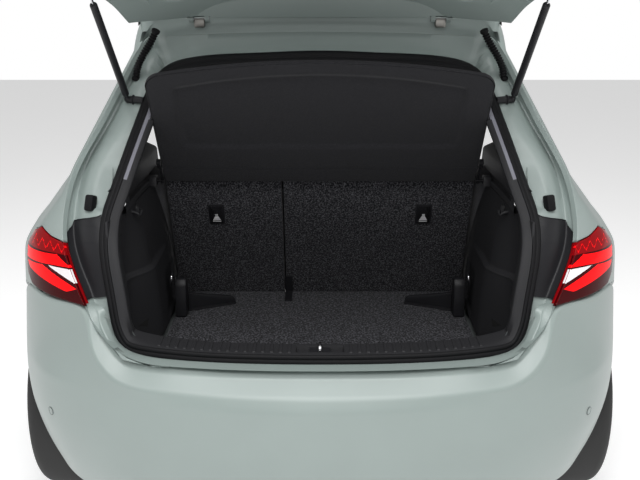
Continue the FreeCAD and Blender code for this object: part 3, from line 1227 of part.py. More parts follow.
def make_rim():
    width = TYRE_WIDTH - RIM_RECESS
    start = WHEEL_CENTRE - width * HALF
    face = start + width
    hub_start = DRUM_OUTER + DRUM_GAP
    at_axle = vec(0, -AXLE_BACK, AXLE_HEIGHT)
    rim = Part.makeCylinder(RIM_RADIUS, width, at_axle + vec(start, 0, 0), vec(1, 0, 0))
    rim = rim.cut(Part.makeCylinder(RIM_RADIUS - RIM_WALL, width, at_axle + vec(start, 0, 0),
                                    vec(1, 0, 0)))
    hub_end = face - SPOKE_DEPTH * HALF
    rim = rim.fuse(Part.makeCylinder(HUB_RADIUS, hub_end - hub_start,
                                     at_axle + vec(hub_start, 0, 0), vec(1, 0, 0)))
    back = face - SPOKE_DEPTH - SPOKE_DEPTH * HALF
    for index in range(SPOKE_COUNT):
        turn = index * FULL_TURN / SPOKE_COUNT
        for lean in (-SPOKE_LEAN, SPOKE_LEAN):
            spoke = box(back, back + SPOKE_DEPTH, -SPOKE_WIDTH * HALF, SPOKE_WIDTH * HALF,
                        HUB_RADIUS * HALF, RIM_RADIUS - RIM_WALL * HALF)
            spoke.rotate(vec(0, 0, 0), vec(1, 0, 0), turn + lean)
            spoke.translate(at_axle)
            rim = rim.fuse(spoke)
    bore = Part.makeCylinder(SPINDLE_RADIUS + RUNNING_CLEARANCE, WHEEL_CENTRE + DRUM_GAP
                             - hub_start + OVERRUN, at_axle + vec(hub_start - OVERRUN, 0, 0),
                             vec(1, 0, 0))
    return rim.cut(bore)


def write(name, shape):
    shape = shape.copy()
    shape.translate(vec(0, 0, -MOUNT_HEIGHT))
    shape.exportStep("parts/" + name + ".step")
    print(name, len(shape.Solids), round(shape.Volume), shape.isValid())


os.makedirs("parts", exist_ok=True)

roof_panel, quarter_right = make_body()
inward = vec(0, 1, -1)
inward.normalize()
low_ball, shut_ball, open_ball, strut_axis = strut_frame()
quarter_right = quarter_right.fuse(pin_and_boss(low_ball, strut_axis, STRUT_EYE_WIDTH,
                                                HINGE_SIDE_GAP, inward))
for hinge_side in (-1, 1):
    roof_panel = roof_panel.fuse(hinge_parts(hinge_side)[0].cut(envelope(WALL_DEPTH)))
write("roof_panel", roof_panel)
write("quarter_panel_right", quarter_right)
write("quarter_panel_left", mirrored(quarter_right))
write("tail_lamps", make_tail_lamps())
write("lamp_covers", make_lamp_covers())
write("bump_stops", gutter_stud(BUMP_STOP_X, BUMP_STOP_HEIGHT, BUMP_STOP_RADIUS,
                                BUMP_STOP_LENGTH))
gaiters = gutter_stud(GAITER_X, GAITER_HEIGHT, GAITER_RADIUS, GAITER_LENGTH)
write("cable_gaiters", gaiters.cut([quarter_right, mirrored(quarter_right)]))
write("aperture_seal", make_seal())
rear_bumper = make_bumper()
write("rear_bumper", rear_bumper)
write("bumper_valance", make_valance())
write("back_panel", make_back_panel(rear_bumper))
write("pillar_trims", make_pillar_trims())
write("headliner", make_headliner())
side_trim = make_side_trim()
write("side_trim_right", side_trim)
write("side_trim_left", mirrored(side_trim))
write("bag_hooks", make_bag_hooks(side_trim))
write("sill_trim", make_sill_trim())
write("latch_striker", make_striker())
write("floor_pan", make_floor_pan())
write("wheelhouses", make_wheelhouses())
write("boot_floor", make_boot_floor())
write("axle_beam", make_axle_beam())
write("coil_springs", make_springs())
write("dampers", make_dampers())
write("silencer", make_silencer())
panel, glass, gate_trim, gate_lamps = make_tailgate()
write("tailgate_panel", opened_tailgate(panel))
write("tailgate_glass", opened_tailgate(glass))
write("tailgate_trim", opened_tailgate(gate_trim))
write("tailgate_lamps", opened_tailgate(gate_lamps))
write("tailgate_spoiler", opened_tailgate(make_spoiler()))
write("rear_wiper", opened_tailgate(make_wiper()))
strut_tube, strut_rod = make_struts()
write("strut_cylinder_right", strut_tube)
write("strut_cylinder_left", mirrored(strut_tube))
write("strut_rod_right", strut_rod)
write("strut_rod_left", mirrored(strut_rod))
split_half = BACK_SPLIT_GAP * HALF
write("backrest_wide", make_backrest(-BACK_SPLIT + split_half, BACK_HALF, -BACK_SPLIT,
                                     (HEADREST_X, 0), TETHER_X))
write("backrest_narrow", make_backrest(-BACK_HALF, -BACK_SPLIT - split_half, -BACK_SPLIT,
                                       (-HEADREST_X,), -TETHER_X))
write("seat_centre_hinge", make_centre_hinge())
write("cargo_brackets", make_cargo_brackets())
write("lashing_eyes", make_lashing_eyes())
write("parcel_shelf", make_parcel_shelf())
tyre = make_tyre()
rim = make_rim()
write("tyre_right", tyre)
write("tyre_left", mirrored(tyre))
write("rim_right", rim)
write("rim_left", mirrored(rim))
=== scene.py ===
# %% [markdown]
# # The rear of a hatchback with its tailgate raised
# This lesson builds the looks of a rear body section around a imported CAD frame. Every panel of the
# car lies on one smooth skin, so the lesson writes that skin as a function first and cuts each
# panel, lamp and pane out of it. Heights are written above the road, as they are measured on a car.

# %% Load the frame
import math
import bpy
import numpy as np
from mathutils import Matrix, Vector
from mathutils.geometry import delaunay_2d_cdt


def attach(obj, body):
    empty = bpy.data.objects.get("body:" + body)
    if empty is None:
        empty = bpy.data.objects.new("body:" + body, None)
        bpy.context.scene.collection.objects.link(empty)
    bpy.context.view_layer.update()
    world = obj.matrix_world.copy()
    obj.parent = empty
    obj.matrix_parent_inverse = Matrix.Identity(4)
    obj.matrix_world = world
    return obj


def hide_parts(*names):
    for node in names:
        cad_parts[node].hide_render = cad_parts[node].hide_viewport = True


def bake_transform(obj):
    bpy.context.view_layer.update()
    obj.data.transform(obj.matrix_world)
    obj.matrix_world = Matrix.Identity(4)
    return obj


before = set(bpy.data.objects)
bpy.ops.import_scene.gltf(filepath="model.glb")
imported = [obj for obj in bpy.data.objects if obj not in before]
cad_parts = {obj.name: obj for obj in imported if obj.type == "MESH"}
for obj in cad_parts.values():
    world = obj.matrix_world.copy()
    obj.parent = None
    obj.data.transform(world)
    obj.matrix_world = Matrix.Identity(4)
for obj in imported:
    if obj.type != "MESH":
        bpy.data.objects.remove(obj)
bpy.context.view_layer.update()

# %% [markdown]
# ## Sizes shared by the panels
# The frame's origin sits 330 mm above the road, so one number turns a height into a place in the
# frame. The skin's shape is kept as shares of the body's width, depth and height.

# %% Sizes
ROAD = 0.330
HALF_WIDTH, DEPTH, ROOF = 0.890, 1.155, 1.460
AXLE_Y, AXLE_H, ARCH_R = -0.440, 0.300, 0.335
HINGE_Y, HINGE_H, OPEN_ANGLE = -0.507, 1.421, math.radians(84)
GUTTER = 0.055
PLAN = [(1.0, 0.0), (0.99, 0.3), (0.97, 0.45), (0.935, 0.58), (0.87, 0.716), (0.78, 0.812),
        (0.667, 0.888), (0.61, 0.922), (0.53, 0.955), (0.4, 0.979), (0.2, 0.995), (0.0, 1.0)]
STATIONS = [(0.137, 0.94, 0.957), (0.233, 0.975, 0.957), (0.342, 0.995, 0.957),
            (0.452, 1.0, 0.957), (0.521, 0.997, 0.944), (0.58, 0.991, 0.928),
            (0.635, 0.961, 0.905), (0.678, 0.925, 0.868), (0.724, 0.888, 0.818),
            (0.788, 0.831, 0.74), (0.842, 0.787, 0.671), (0.895, 0.73, 0.606),
            (0.932, 0.68, 0.558), (0.973, 0.596, 0.502), (1.014, 0.506, 0.45)]
WAIST = [(0.0, 1.1), (0.52, 1.08), (0.587, 0.98), (0.68, 0.8615), (0.724, 0.827),
         (0.914, 0.647), (0.95, 0.642), (1.03, 0.64)]
WAIST_TAPER = 0.115
CROWN = [(-0.1, 1.0, 1.0), (0.17, 0.998, 0.8), (0.35, 0.987, 0.5), (0.54, 0.967, 0.4),
         (0.8, 0.9, 0.4)]
TAILGATE_EDGE = [(0.0, 0.442), (0.2, 0.442), (0.393, 0.443), (0.506, 0.449), (0.579, 0.469),
                 (0.624, 0.493), (0.657, 0.524), (0.697, 0.568), (0.725, 0.609), (0.736, 0.651),
                 (0.725, 0.724), (0.669, 0.788), (0.624, 0.842), (0.596, 0.877), (0.567, 0.914),
                 (0.522, 0.945), (0.449, 0.966), (0.36, 0.99), (0.2, 1.0), (0.0, 1.0)]
SEAL_EDGE = [(0.0, 0.4384), (0.18, 0.4384), (0.337, 0.439), (0.494, 0.442), (0.551, 0.449),
             (0.576, 0.469), (0.599, 0.525), (0.618, 0.582), (0.627, 0.62), (0.625, 0.66),
             (0.611, 0.69), (0.575, 0.762), (0.542, 0.825), (0.517, 0.863), (0.473, 0.89),
             (0.404, 0.9055), (0.2, 0.917), (0.0, 0.921)]

# %% [markdown]
# ## Smooth curves
# A natural cubic spline bends evenly through its points. Its curvature never jumps, which matters
# on a car because a jump shows as a kink in the reflections.

# %% Curves
def natural(xs, ys):
    """A smooth function through the points (xs, ys)."""
    xs, ys = np.array(xs, float), np.array(ys, float)
    count, gap = len(xs), np.diff(xs)
    matrix, right = np.eye(count), np.zeros(count)
    for i in range(1, count - 1):
        matrix[i, i - 1:i + 2] = gap[i - 1], 2 * (gap[i - 1] + gap[i]), gap[i]
        right[i] = 6 * ((ys[i + 1] - ys[i]) / gap[i] - (ys[i] - ys[i - 1]) / gap[i - 1])
    bend = np.linalg.solve(matrix, right)

    def value(x):
        x = np.asarray(x, float)
        i = np.clip(np.searchsorted(xs, x) - 1, 0, count - 2)
        a, c, d = xs[i + 1] - x, x - xs[i], gap[i]
        return (bend[i] * a ** 3 + bend[i + 1] * c ** 3) / (6 * d) \
            + (ys[i] / d - bend[i] * d / 6) * a + (ys[i + 1] / d - bend[i + 1] * d / 6) * c
    return value


def distances(points):
    """How far along a line each of its points lies."""
    return np.r_[0, np.cumsum(np.linalg.norm(np.diff(points, axis=0), axis=1))]


def along(points, count, smooth=True):
    """count points at even steps along a curve through the given ones."""
    points = np.array(points, float)
    steps = distances(points)
    if smooth:
        fine = np.linspace(0, steps[-1], 12 * len(points) + 200)
        points = np.stack([natural(steps, column)(fine) for column in points.T], axis=1)
        steps = distances(points)
    even = np.linspace(0, steps[-1], count)
    return np.stack([np.interp(even, steps, column) for column in points.T], axis=1)


def soft_step(value, low, high):
    """Climbs softly from 0 at low to 1 at high."""
    t = np.clip((np.asarray(value, float) - low) / (high - low), 0, 1)
    return t * t * (3 - 2 * t)


def mirrored_half(shares, count):
    """A half outline from the bottom centre to the top centre, in metres, (x, height)."""
    points = [(x * HALF_WIDTH, h * ROOF) for x, h in shares]
    whole = [(-x, h) for x, h in points[-2:0:-1]] + points + [(-x, h) for x, h in points[-2:-5:-1]]
    fine = along(whole, 4 * count)
    low = np.argmax(fine[:, 0] >= 0)
    high = len(fine) - np.argmax(fine[::-1, 0] >= 0)
    half = along(fine[low:high], count, False)
    half[0, 0] = half[-1, 0] = 0
    return half


EDGE_STEPS = 240
edge_curve = mirrored_half(TAILGATE_EDGE, EDGE_STEPS)
seal_curve = mirrored_half(SEAL_EDGE, EDGE_STEPS)
print("tailgate edge", edge_curve[0], "to", edge_curve[-1])

# %% [markdown]
# ## The skin as a function
# `skin_y` answers one question: at this distance from the centre and this height, how far back is
# the painted surface? The inset moves the answer inwards, for gutters, seals and linings.

# %% The skin
half_at = natural([s[0] * ROOF for s in STATIONS], [s[1] * HALF_WIDTH for s in STATIONS])
reach_at = natural([s[0] * ROOF for s in STATIONS], [s[2] * DEPTH for s in STATIONS])
crown_at = natural([-c[0] * DEPTH for c in CROWN[::-1]], [c[1] * ROOF for c in CROWN[::-1]])
drop_at = natural([-c[0] * DEPTH for c in CROWN[::-1]], [c[2] * 0.085 for c in CROWN[::-1]])
full_plan = np.array(PLAN + [(-x, y) for x, y in PLAN[-2::-1]])
plan_steps = np.r_[0, np.cumsum(np.hypot(*np.diff(full_plan, axis=0).T))]
plan_fine = np.linspace(0, plan_steps[len(PLAN) - 1], 4000)
plan_x = natural(plan_steps, full_plan[:, 0])(plan_fine)[::-1]
plan_y = natural(plan_steps, full_plan[:, 1])(plan_fine)[::-1]
plan_s = np.linspace(0, 1, 4000)
waist_h = np.array([w[0] * ROOF for w in WAIST])
waist_x = np.array([w[1] * HALF_WIDTH for w in WAIST])
waist_rise = np.r_[waist_h[1] - waist_h[0], waist_h[2:] - waist_h[:-2], waist_h[-1] - waist_h[-2]]
waist_run = np.r_[waist_x[1] - waist_x[0], waist_x[2:] - waist_x[:-2], waist_x[-1] - waist_x[-2]]
waist_slope = np.hypot(waist_rise, waist_run) / waist_rise


def slope(function, height):
    return np.hypot(1, (function(height + 0.01) - function(height - 0.01)) / 0.02)


def soft_min(a, b, width=0.02):
    return 0.5 * (a + b - np.sqrt((a - b) ** 2 + width ** 2))


def roof_h(x, y, inset=0.0):
    return crown_at(y) - inset - drop_at(y) * (x / 0.76) ** 2


def skin_xy(s, height, inset=0.0):
    """The skin by its plan length s (0 at the tail's centre, 1 at the front) and height."""
    half = half_at(height) - inset * slope(half_at, height)
    reach = reach_at(height) - inset * slope(reach_at, height)
    y = -reach * np.interp(s, plan_s, plan_y)
    flat = np.interp(height, waist_h, waist_x - inset * waist_slope) + WAIST_TAPER * y
    return soft_min(half * np.interp(s, plan_s, plan_x), flat, 0.012), y


def side_skin(s, height, inset=0.0):
    x, y = skin_xy(s, height, inset)
    return np.stack([x, y, soft_min(height, roof_h(x, y, inset))], axis=-1)


def side_s(height, x=None, y=None, inset=0.0):
    """The plan length of a point on the side skin whose x or y is known."""
    if x is None:
        share = np.clip(-np.asarray(y) / reach_at(height), 0, 1)
        return np.interp(share, plan_y[::-1], plan_s[::-1])
    x, height = np.broadcast_arrays(np.abs(np.asarray(x, float)), np.asarray(height, float))
    low, high = np.zeros(x.shape), np.ones(x.shape)
    for _ in range(20):
        middle = 0.5 * (low + high)
        near = skin_xy(middle, height, inset)[0] < x
        low, high = np.where(near, middle, low), np.where(near, high, middle)
    return 0.5 * (low + high)


def skin_y(x, height, inset=0.0):
    return skin_xy(side_s(height, x=x, inset=inset), height, inset)[1]


def normals_of(surface, u, v, step=0.003):
    across = surface(u + step, v) - surface(u - step, v)
    up = surface(u, v + step) - surface(u, v - step)
    normal = np.cross(across, up)
    return normal / np.linalg.norm(normal, axis=-1, keepdims=True)


print("skin at the tail's centre, 1 m up:", skin_y(0.0, 1.0))

# %% [markdown]
# ## From numbers to meshes
# Each piece is a list of points and faces. The open tailgate is modelled shut, where its skin
# meets the body's, and is then turned about its hinge, just as the real one is opened.

# %% Mesh helpers
def tilted(points, angle):
    """Points turned upwards about the car's cross axis."""
    c, s = math.cos(-angle), math.sin(-angle)
    return np.array(points, float) @ np.array(((1, 0, 0), (0, c, s), (0, -s, c)))


def opened(points, direction=False):
    centre = np.zeros(3) if direction else np.array((0, HINGE_Y, HINGE_H))
    return tilted(np.array(points, float) - centre, OPEN_ANGLE) + centre


def add(name, shape, material, body="body_section", angle=40, lift=False, stands_for=(), slot=None):
    """A mesh piece on a CAD body. lift=True opens it with the tailgate."""
    points, faces = np.array(shape[0], float), shape[1]
    normals = shape[2] if len(shape) > 2 else None
    if lift:
        points = opened(points)
        normals = None if normals is None else opened(normals, True)
    mesh = bpy.data.meshes.new(name)
    mesh.from_pydata((points - (0, 0, ROAD)).tolist(), [], [tuple(map(int, f)) for f in faces])
    mesh.polygons.foreach_set("use_smooth", [True] * len(mesh.polygons))
    mesh.materials.append(material)
    if normals is None:
        mesh.set_sharp_from_angle(angle=math.radians(angle))
    else:
        mesh.normals_split_custom_set_from_vertices(np.array(normals).tolist())
    piece = bpy.data.objects.new(name, mesh)
    bpy.context.scene.collection.objects.link(piece)
    if body:
        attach(piece, body)
    if stands_for:
        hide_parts(*stands_for)
    return piece


def flipped(shape):
    """The same shape on the other side of the car."""
    flip = np.array((-1, 1, 1))
    turned = (np.array(shape[0]) * flip, [tuple(f)[::-1] for f in shape[1]])
    return turned + ((np.array(shape[2]) * flip,) if len(shape) > 2 else ())


def joined(*shapes):
    points, faces, normals = [], [], []
    for shape in shapes:
        faces += [tuple(i + len(points) for i in f) for f in shape[1]]
        points += [tuple(p) for p in shape[0]]
        normals += [tuple(n) for n in shape[2]] if len(shape) > 2 else []
    return (points, faces, normals) if normals and len(normals) == len(points) else (points, faces)


def pair(name, shape, material, stands_for=(), **more):
    """A right and a left piece."""
    for side, one in (("right", shape), ("left", flipped(shape))):
        nodes = [n.replace("SIDE", side) for n in stands_for]
        if side == "left" and not any("SIDE" in n for n in stands_for):
            nodes = []
        body = more.get("body", "body_section").replace("SIDE", side)
        add(name + "_" + side, one, material, stands_for=nodes, **{**more, "body": body})


def grid(rows, closed_rows=False, closed_columns=False):
    """Quads between rows of points, each row as long as the others."""
    rows = np.array(rows, float)
    high, wide = rows.shape[:2]
    faces = []
    for i in range(high if closed_rows else high - 1):
        for j in range(wide if closed_columns else wide - 1):
            k, m = (i + 1) % high, (j + 1) % wide
            faces.append((i * wide + j, i * wide + m, k * wide + m, k * wide + j))
    return rows.reshape(-1, 3), faces


def ringed(rows, ends=True):
    """A skin over closed rings of points, with a face on each end if asked."""
    points, faces = grid(rows, closed_columns=True)
    count, last = len(rows[0]), len(points)
    if ends:
        faces += [tuple(range(count))[::-1], tuple(range(last - count, last))]
    return points, faces


def rolled(points, normals, faces, radius=0.0015, depth=0.010):
    """Turns a rounded rim inwards along every open edge of a panel."""
    points, normals = np.array(points, float), np.array(normals, float)
    directed = {(a, b) for f in faces for a, b in zip(f, tuple(f[1:]) + (f[0],))}
    open_edges = [(a, b) for a, b in directed if (b, a) not in directed]
    tangent = np.zeros_like(points)
    for a, b in open_edges:
        step = points[b] - points[a]
        step = step / max(np.linalg.norm(step), 1e-9)
        tangent[a] += step
        tangent[b] += step
    rim = sorted({a for edge in open_edges for a in edge})
    place = {a: i for i, a in enumerate(rim)}
    base, out = points[rim].copy(), normals[rim]
    inward = np.cross(out, tangent[rim])
    inward /= np.maximum(np.linalg.norm(inward, axis=1, keepdims=True), 1e-9)
    points[rim] = base + inward * radius
    rings, ring_normals = [], []
    for turn in (30, 60, 90):
        c, s = math.cos(math.radians(turn)), math.sin(math.radians(turn))
        rings.append(base + inward * radius * (1 - s) - out * radius * (1 - c))
        ring_normals.append(out * c - inward * s)
    rings.append(base - out * depth)
    ring_normals.append(-inward)
    faces = [tuple(f) for f in faces]
    for a, b in open_edges:
        upper = (a, b)
        for k in range(len(rings)):
            start = len(points) + k * len(rim)
            lower = (start + place[a], start + place[b])
            faces.append((upper[0], lower[0], lower[1], upper[1]))
            upper = lower
    return np.vstack([points] + rings), faces, np.vstack([normals] + ring_normals)


def within(outline, x, y):
    """Which points lie inside a closed outline."""
    inside = np.zeros(np.shape(x), bool)
    outline = np.array(outline, float)
    for (x0, y0), (x1, y1) in zip(outline, np.roll(outline, -1, axis=0)):
        if y0 != y1:
            crosses = ((y0 > y) != (y1 > y)) & (x < x0 + (x1 - x0) * (y - y0) / (y1 - y0))
            inside ^= crosses
    return inside


def covers(area, p):
    """Which points in space lie inside an outline of (x, height)."""
    return within(area, p[..., 0], p[..., 2])


def trimmed(surface, curves, inside, us, vs, keep=0.004, stretch=1.5):
    """A piece of a surface, cut exactly along curves given in the surface's own coordinates."""
    fixed, edges = [], []
    for curve in curves:
        edges += [(len(fixed) + i, len(fixed) + i + 1) for i in range(len(curve) - 1)]
        fixed += [tuple(p) for p in curve]
    fixed = np.array(fixed, float)
    u, v = [axis.ravel() for axis in np.meshgrid(us, vs)]
    scale = np.array((stretch, 1.0))
    far = np.array([np.min(np.sum(((fixed - (a, b)) * scale) ** 2, axis=1)) for a, b in zip(u, v)])
    chosen = (far > keep ** 2) & inside(u, v)
    flat = np.vstack([fixed, np.stack([u, v], 1)[chosen]]) * scale
    done = delaunay_2d_cdt([Vector(p) for p in flat], edges, [], 0, 1e-5)
    flat = np.array([tuple(p) for p in done[0]]) / scale
    corners = np.array([tuple(f) for f in done[2]])
    a, b, c = flat[corners[:, 0]], flat[corners[:, 1]], flat[corners[:, 2]]
    centre = (a + b + c) / 3
    area = (b[:, 0] - a[:, 0]) * (c[:, 1] - a[:, 1]) - (b[:, 1] - a[:, 1]) * (c[:, 0] - a[:, 0])
    good = (abs(area) > 1e-9) & inside(centre[:, 0], centre[:, 1])
    faces = [tuple(f) if turn > 0 else tuple(f)[::-1] for f, turn in zip(corners[good], area[good])]
    used = sorted({i for f in faces for i in f})
    new = {old: i for i, old in enumerate(used)}
    flat = flat[used]
    return flat, [tuple(new[i] for i in f) for f in faces]


def panel(surface, curves, inside, us, vs, radius=0.0015, depth=0.010, **more):
    flat, faces = trimmed(surface, curves, inside, us, vs, **more)
    points = surface(flat[:, 0], flat[:, 1])
    return rolled(points, normals_of(surface, flat[:, 0], flat[:, 1]), faces, radius, depth)


def tube(path, radius, sides=16, ends=True):
    """A round bar along a path; radius may change from point to point."""
    path = np.array(path, float)
    radius = np.broadcast_to(radius, len(path))
    heading = np.gradient(path, axis=0)
    heading /= np.linalg.norm(heading, axis=1, keepdims=True)
    side = np.cross(heading[0], (0.31, 0.2, 0.93))
    rows = []
    for place, direction, r in zip(path, heading, radius):
        side = side - direction * np.dot(side, direction)
        side /= np.linalg.norm(side)
        other = np.cross(direction, side)
        turns = np.arange(sides) * 2 * math.pi / sides
        rows.append([place + r * (side * math.cos(t) + other * math.sin(t)) for t in turns])
    return ringed(rows, ends)


def lathe(profile, centre, axis=(1, 0, 0), steps=48, ends=False):
    """A profile of (distance along, radius) turned round an axis."""
    axis = np.array(axis, float) / np.linalg.norm(axis)
    side = np.cross(axis, (0.0, 0.0, 1.0) if abs(axis[2]) < 0.9 else (0.0, 1.0, 0.0))
    side /= np.linalg.norm(side)
    other = np.cross(axis, side)
    turns = np.arange(steps) * 2 * math.pi / steps
    rows = [[np.array(centre) + axis * d + r * (side * math.cos(t) + other * math.sin(t))
             for t in turns] for d, r in profile]
    return ringed(rows, ends)


def rounding(before, corner, after, radius):
    """The points of a soft bend in place of a corner."""
    a, b = before - corner, after - corner
    la, lb = np.linalg.norm(a), np.linalg.norm(b)
    reach = min(radius, 0.45 * la, 0.45 * lb)
    start, end = corner + a / la * reach, corner + b / lb * reach
    return [(1 - t) ** 2 * start + 2 * t * (1 - t) * corner + t * t * end
            for t in np.linspace(0, 1, 5)]


def rounded_outline(points, radius):
    """A closed flat outline with its corners rounded."""
    points = np.array(points, float)
    corners = zip(np.roll(points, 1, 0), points, np.roll(points, -1, 0))
    return np.array([p for three in corners for p in rounding(*three, radius)])


def slab(outline, origin, across, up, thickness, bevel=0.001, corner=0.0):
    """A flat outline given a thickness and softened edges, set in place by two directions."""
    flat = rounded_outline(outline, corner) if corner else np.array(outline, float)
    area = np.sum(flat[:, 0] * np.roll(flat[:, 1], -1) - np.roll(flat[:, 0], -1) * flat[:, 1])
    if area < 0:
        flat = flat[::-1]
    edge = np.roll(flat, -1, 0) - np.roll(flat, 1, 0)
    out = np.stack([edge[:, 1], -edge[:, 0]], 1)
    out /= np.maximum(np.linalg.norm(out, axis=1, keepdims=True), 1e-9)
    across, up = np.array(across, float), np.array(up, float)
    normal = np.cross(across, up)
    b = min(bevel, thickness / 2)
    rows = []
    for inset, height in ((b, 0), (b * 0.3, b * 0.3), (0, b), (0, thickness - b),
                          (b * 0.3, thickness - b * 0.3), (b, thickness)):
        ring = flat - out * inset
        rows.append([np.array(origin) + across * p[0] + up * p[1] + normal * height for p in ring])
    return ringed(rows)


def oblong(half, low, high):
    return [(-half, low), (half, low), (half, high), (-half, high)]


def block(low, high, bevel=0.003):
    """A box with rounded edges."""
    low, high = np.array(low, float), np.array(high, float)
    size = high - low
    return slab([(0, 0), (size[0], 0), (size[0], size[1]), (0, size[1])], low, (1, 0, 0),
                (0, 1, 0), size[2], bevel, bevel)


print("helpers ready")

# %% [markdown]
# ## Finishes
# Every finish is made from noise, so nothing is painted by hand. Car paint is a base with a clear
# coat over it, moulded plastic has a fine grain, and the carpets carry pale fibres on dark felt.

# %% Materials
def finish(name, colour, rough, metal=0.0, coat=0.0, grain=0.0, grain_size=900.0, mottle=0.0,
           fleck=None, fleck_size=420.0, sheen=0.0, through=0.0, glow=0.0, alpha=1.0,
           coat_rough=0.03, shine=0.5):
    material = bpy.data.materials.new(name)
    material.use_nodes = True
    nodes, links = material.node_tree.nodes, material.node_tree.links
    shader = nodes["Principled BSDF"]
    place = nodes.new("ShaderNodeTexCoord")
    noise = nodes.new("ShaderNodeTexNoise")
    noise.inputs["Scale"].default_value = fleck_size if fleck else 6.0
    noise.inputs["Detail"].default_value = 4.0
    links.new(place.outputs["Object"], noise.inputs["Vector"])
    ramp = nodes.new("ShaderNodeValToRGB")
    spread = 0.5 * mottle
    stops = ((0.46, colour), (0.68, fleck)) if fleck else (
        (0.35, [c * (1 - spread) for c in colour]),
        (0.65, [min(1, c * (1 + spread)) for c in colour]))
    for stop, (position, tone) in zip(ramp.color_ramp.elements, stops):
        stop.position, stop.color = position, (*tone, 1)
    links.new(noise.outputs["Fac"], ramp.inputs["Fac"])
    links.new(ramp.outputs["Color"], shader.inputs["Base Color"])
    if grain:
        fine = nodes.new("ShaderNodeTexNoise")
        fine.inputs["Scale"].default_value = grain_size
        fine.inputs["Detail"].default_value = 3.0
        bump = nodes.new("ShaderNodeBump")
        bump.inputs["Strength"].default_value = grain
        bump.inputs["Distance"].default_value = 0.001
        links.new(place.outputs["Object"], fine.inputs["Vector"])
        links.new(fine.outputs["Fac"], bump.inputs["Height"])
        links.new(bump.outputs["Normal"], shader.inputs["Normal"])
    for socket, value in (("Roughness", rough), ("Metallic", metal), ("Coat Weight", coat),
                          ("Coat Roughness", coat_rough), ("Specular IOR Level", shine),
                          ("Sheen Weight", sheen),
                          ("Transmission Weight", through), ("Alpha", alpha)):
        shader.inputs[socket].default_value = value
    if glow:
        shader.inputs["Emission Color"].default_value = (*colour, 1)
        shader.inputs["Emission Strength"].default_value = glow
    return material


SAGE = (0.255, 0.305, 0.290)
paint = finish("sage_paint", SAGE, 0.48, coat=0.45, mottle=0.03, coat_rough=0.32)
bumper_paint = finish("sage_bumper_paint", SAGE, 0.48, coat=0.45, mottle=0.03, coat_rough=0.32)
black_grain = finish("grained_black", (0.019, 0.019, 0.021), 0.6, grain=0.35, grain_size=1100,
                     shine=0.28)
soft_black = finish("smooth_black", (0.014, 0.014, 0.016), 0.42, grain=0.1, grain_size=1500,
                    shine=0.25)
gloss_black = finish("gloss_black", (0.010, 0.010, 0.011), 0.12, coat=0.6, mottle=0.1)
rubber = finish("seal_rubber", (0.009, 0.009, 0.010), 0.55, grain=0.2, grain_size=700,
                shine=0.12)
grey_trim = finish("lavender_grey_trim", (0.20, 0.20, 0.235), 0.6, grain=0.25, grain_size=1200)
cloth_grey = finish("headliner_cloth", (0.28, 0.28, 0.30), 0.9, grain=0.5, grain_size=1400)
carpet = finish("speckled_carpet", (0.008, 0.008, 0.010), 0.95, grain=0.9, grain_size=420,
                fleck=(0.12, 0.12, 0.132), fleck_size=280, sheen=0.1, shine=0.2)
felt = finish("shelf_felt", (0.013, 0.013, 0.015), 0.95, grain=0.7, grain_size=800,
              fleck=(0.034, 0.034, 0.038), fleck_size=600, sheen=0.1, shine=0.2)
bright = finish("bright_steel", (0.62, 0.62, 0.64), 0.18, metal=1.0, mottle=0.05)
dull_steel = finish("dull_steel", (0.30, 0.29, 0.27), 0.42, metal=1.0, mottle=0.3, grain=0.1)
primer = finish("grey_primer", (0.10, 0.11, 0.11), 0.55, mottle=0.15, grain=0.1)
chassis = finish("chassis_black", (0.018, 0.018, 0.020), 0.45, mottle=0.2, grain=0.15)
tyre_rubber = finish("tyre_rubber", (0.018, 0.018, 0.018), 0.72, grain=0.2, grain_size=500)
alloy = finish("wheel_alloy", (0.55, 0.56, 0.58), 0.28, metal=1.0, coat=0.3, mottle=0.04)
tinted = finish("tinted_glass", (0.010, 0.013, 0.012), 0.03, coat=1.0, mottle=0.05, alpha=0.82)
red_lens = finish("red_lens", (0.26, 0.003, 0.005), 0.12, coat=0.04, mottle=0.15, shine=0.06)
bright_red = finish("bright_red_lens", (0.85, 0.004, 0.006), 0.14, coat=0.03, glow=0.45, shine=0.05)
dark_red = finish("dark_red_lens", (0.045, 0.001, 0.002), 0.12, coat=0.04, mottle=0.3, shine=0.06)
white_lens = finish("white_lens", (0.80, 0.76, 0.77), 0.16, coat=0.3, glow=0.12, mottle=0.1)
mark_white = finish("pale_mark", (0.55, 0.55, 0.56), 0.6, mottle=0.1)
print("materials:", len(bpy.data.materials))

# %% [markdown]
# ## The painted sides
# One panel runs from the door opening round the corner of the car to the tailgate. Its outline is a
# set of curves drawn on the skin: the door, the wheel arch, the bumper's edge, the lamp and the
# tailgate. Where curves cross, the cut follows whichever comes first.

# %% Body sides
LAMP = [(0.728, 0.912), (0.690, 0.902), (0.645, 0.899), (0.625, 0.893), (0.598, 0.843),
        (0.578, 0.7625), (0.645, 0.7605), (0.7086, 0.7585), (0.762, 0.760), (0.783, 0.780),
        (0.789, 0.815), (0.788, 0.850), (0.765, 0.886)]
BUMPER_TOP = [(0.40, 0.640), (0.481, 0.648), (0.5187, 0.693), (0.5362, 0.728), (0.560, 0.755),
              (0.600, 0.7595), (0.680, 0.7545), (0.770, 0.7495), (0.815, 0.728), (0.845, 0.675),
              (0.872, 0.610), (0.905, 0.560), (0.960, 0.500)]
DOOR = [(-0.240, 1.361), (-0.285, 1.15), (-0.330, 0.950), (-0.352, 0.860), (-0.360, 0.790),
        (-0.345, 0.735), (-0.300, 0.680), (-0.219, 0.600), (-0.130, 0.500), (-0.060, 0.420),
        (-0.020, 0.361), (0.03, 0.330)]
